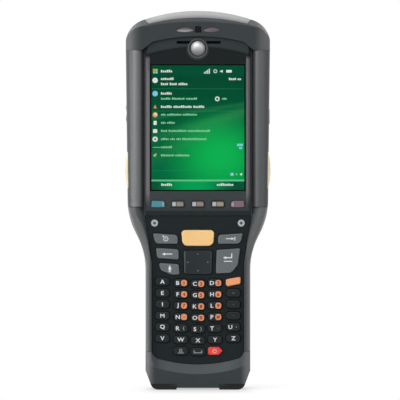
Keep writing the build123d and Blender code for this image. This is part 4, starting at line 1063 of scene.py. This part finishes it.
# -------- hand strap
# Places and sizes are in millimetres; the path gives depth and height.
STRAP_HALF = 21.0
PIN = (19.5, 158.78)
LOOP_R = 2.45  # from the pin's axis to the middle of the webbing
BAND_HALF, LOOP_HALF = 1.15, 0.9  # half the webbing's thickness, along the band and round the pin
STRAP_PATH = [(23.25, 24.6), (23.25, 60), (23.25, 100), (23.25, 140), (23.22, 148), (22.95, 153)]
STRAP_PATH += [(PIN[0] + LOOP_R * math.cos(a), PIN[1] + LOOP_R * math.sin(a))
               for a in (math.radians(t) for t in range(0, 226, 25))]
STRAP_PATH += [(19.2, 154.9), (20.6, 152.6), (21.7, 150.2)]
LAST_THICK = 4  # from the point after this one on, the band is thinner
# A quarter of the band's section, as shares of its half width and half thickness.
STRAP_QUARTER = [(-1.0, 0.0), (-0.985, 0.62), (-0.94, 0.95), (-0.8, 0.86), (-0.4, 0.97), (0.0, 1.0)]


def strap_band():
    """Woven band: a crowned section carried along its path, with rolled edges."""
    build = bmesh.new()
    section = STRAP_QUARTER + [(-x, t) for x, t in STRAP_QUARTER[-2::-1]]
    section += [(x, -t) for x, t in section[-2:0:-1]]
    loops = []
    for index, (y, z) in enumerate(STRAP_PATH):
        before = STRAP_PATH[max(index - 1, 0)]
        after = STRAP_PATH[min(index + 1, len(STRAP_PATH) - 1)]
        run = Vector((after[0] - before[0], after[1] - before[1])).normalized()
        out = Vector((run.y, -run.x))
        thick = BAND_HALF if index <= LAST_THICK else LOOP_HALF
        loops.append([build.verts.new((x * STRAP_HALF * MM, (y + out.x * t * thick) * MM,
                                       (z + out.y * t * thick) * MM)) for x, t in section])
    skin(build, loops)
    build.faces.new(loops[0])
    build.faces.new(loops[-1])
    bmesh.ops.recalc_face_normals(build, faces=build.faces)
    band = make_piece(build, "strap_band", "hand_strap", SLOT_FINISHES["webbing"], smooth=True)
    rounder = band.modifiers.new("rounder", "SUBSURF")
    rounder.levels = rounder.render_levels = 1
    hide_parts("hand_strap")


STITCH_PITCH = 2.6
STITCH_SHARE = 0.78  # of the pitch that the thread covers
THREAD_R = 0.24
THREAD_RISE = 0.3
THREAD_Y = 24.29  # a little under the band's outer face
SEAM_X = 17.6
BOXES = ((30, 40), (130, 146))  # lower and upper ends of the stitched boxes


def stitch(build, x, z, run):
    """One thread between two holes, thick in its middle."""
    along = Vector((run.x, 0, run.y))
    side = Vector((run.y, 0, -run.x)).normalized() * THREAD_R
    rise = Vector((0, THREAD_RISE, 0))
    middle = Vector((x, THREAD_Y, z))
    tips = [build.verts.new((middle + end) * MM) for end in (-along / 2, along / 2)]
    belt = [build.verts.new((middle + end) * MM) for end in (side, rise, -side, -rise)]
    for tip in tips:
        for corner in range(4):
            build.faces.new((tip, belt[corner], belt[(corner + 1) % 4]))


def seam(build, x1, z1, x2, z2):
    """A line of stitches between two points."""
    run = Vector((x2 - x1, z2 - z1))
    count = max(int(run.length / STITCH_PITCH), 1)
    for index in range(count):
        share = (index + 0.5) / count
        stitch(build, x1 + run.x * share, z1 + run.y * share, run / count * STITCH_SHARE)


def strap_stitches():
    """Thread along both edges and in a crossed box at each end of the band."""
    build = bmesh.new()
    for side in (-1, 1):
        seam(build, side * SEAM_X, BOXES[0][0], side * SEAM_X, BOXES[1][1])
    for low, high in BOXES:
        seam(build, -SEAM_X, low, SEAM_X, low)
        seam(build, -SEAM_X, high, SEAM_X, high)
        seam(build, -SEAM_X, low, SEAM_X, high)
        seam(build, -SEAM_X, high, SEAM_X, low)
    bmesh.ops.recalc_face_normals(build, faces=build.faces)
    thread = ink("strap thread", paint(104, 105, 108), 0.3)
    make_piece(build, "strap_stitching", "hand_strap", thread, smooth=True)


strap_band()
strap_stitches()


# -------- stage
PICTURE_SIDE = 400  # pixels
MM_PER_PIXEL = 0.6153
CAMERA_DISTANCE = 2.6
SENSOR = 36  # millimetres
MIDDLE = Vector((1.3 * MM, -25 * MM, 116.8 * MM))
WORLD_FILL = 0.25
FLOOR_HALF = 6.0
FLOOR_NEAR, FLOOR_FAR = 0.03, 0.095  # the shadow fades out between these distances from the middle
FLOOR_LIT = 0.45  # share of the floor near the base that takes light and shadow
LAMP_AIM = (0, 0, 0.12)
LAMPS = (  # name, place, aim, size and watts
    ("key light", (-0.5, -1.6, 1.3), LAMP_AIM, (0.9, 0.9), 12),
    ("left light", (-1.5, -0.8, 0.4), LAMP_AIM, (0.7, 1.2), 12),
    ("right light", (1.5, -0.8, 0.4), LAMP_AIM, (0.7, 1.2), 2.5),
    ("top light", (0, 0.0, 1.3), (0, 0, 0.2), (1.0, 0.8), 5),
    ("back light", (0, 1.6, 0.8), LAMP_AIM, (1.4, 0.8), 8),
)


def make_camera():
    data = bpy.data.cameras.new("camera")
    data.sensor_width = SENSOR
    data.lens = SENSOR * CAMERA_DISTANCE / (PICTURE_SIDE * MM_PER_PIXEL * MM)
    data.clip_end = 50
    camera = put("camera", data)
    camera.location = MIDDLE - Vector((0, CAMERA_DISTANCE, 0))
    camera.rotation_euler = (math.radians(90), 0, 0)
    bpy.context.scene.camera = camera


def make_world():
    """White wherever the backdrop is seen, and an even fill on everything else."""
    world = bpy.data.worlds.new("studio")
    bpy.context.scene.world = world
    graph = Graph(world)
    fill = graph.node("Background", None, {"Color": WHITE, "Strength": WORLD_FILL})
    white = graph.node("Background", None, {"Color": WHITE, "Strength": 1.0})
    mixed = graph.node("MixShader", None, {0: graph.backdrop_rays(), 1: fill, 2: white})
    graph.add("OutputWorld", None, {"Surface": mixed})


def make_floor():
    """White floor that keeps the shadow near the base and runs out to plain white."""
    mesh = bpy.data.meshes.new("floor")
    build = bmesh.new()
    bmesh.ops.create_grid(build, x_segments=2, y_segments=2, size=FLOOR_HALF)
    build.to_mesh(mesh)
    build.free()
    finish = Finish("floor white", Specular_IOR_Level=0.3, Roughness=0.45)
    finish.set("Base Color", finish.blend(finish.noise(0.3), paint(250, 246, 246), paint(254, 250, 250)))
    far = finish.vector("LENGTH", finish.place(), output="Value").between(FLOOR_NEAR, FLOOR_FAR)
    plain = finish.node("Emission", None, {"Color": WHITE, "Strength": 1.0})
    share = (1 - FLOOR_LIT + FLOOR_LIT * far) * finish.backdrop_rays()
    mixed = finish.node("MixShader", None, {0: share, 1: finish.lit, 2: plain})
    finish.feed(finish.output.inputs["Surface"], mixed)
    mesh.materials.append(finish.material)
    put("floor", mesh)


def make_lamp(name, place, aim, size, watts):
    data = bpy.data.lights.new(name, "AREA")
    data.shape = "RECTANGLE"
    data.size, data.size_y = size
    data.energy = watts
    lamp = put(name, data)
    lamp.location = place
    lamp.rotation_euler = (Vector(aim) - Vector(place)).to_track_quat("-Z", "Y").to_euler()


make_camera()
make_world()
make_floor()
for lamp in LAMPS:
    make_lamp(*lamp)
bpy.context.scene.view_settings.view_transform = "Standard"
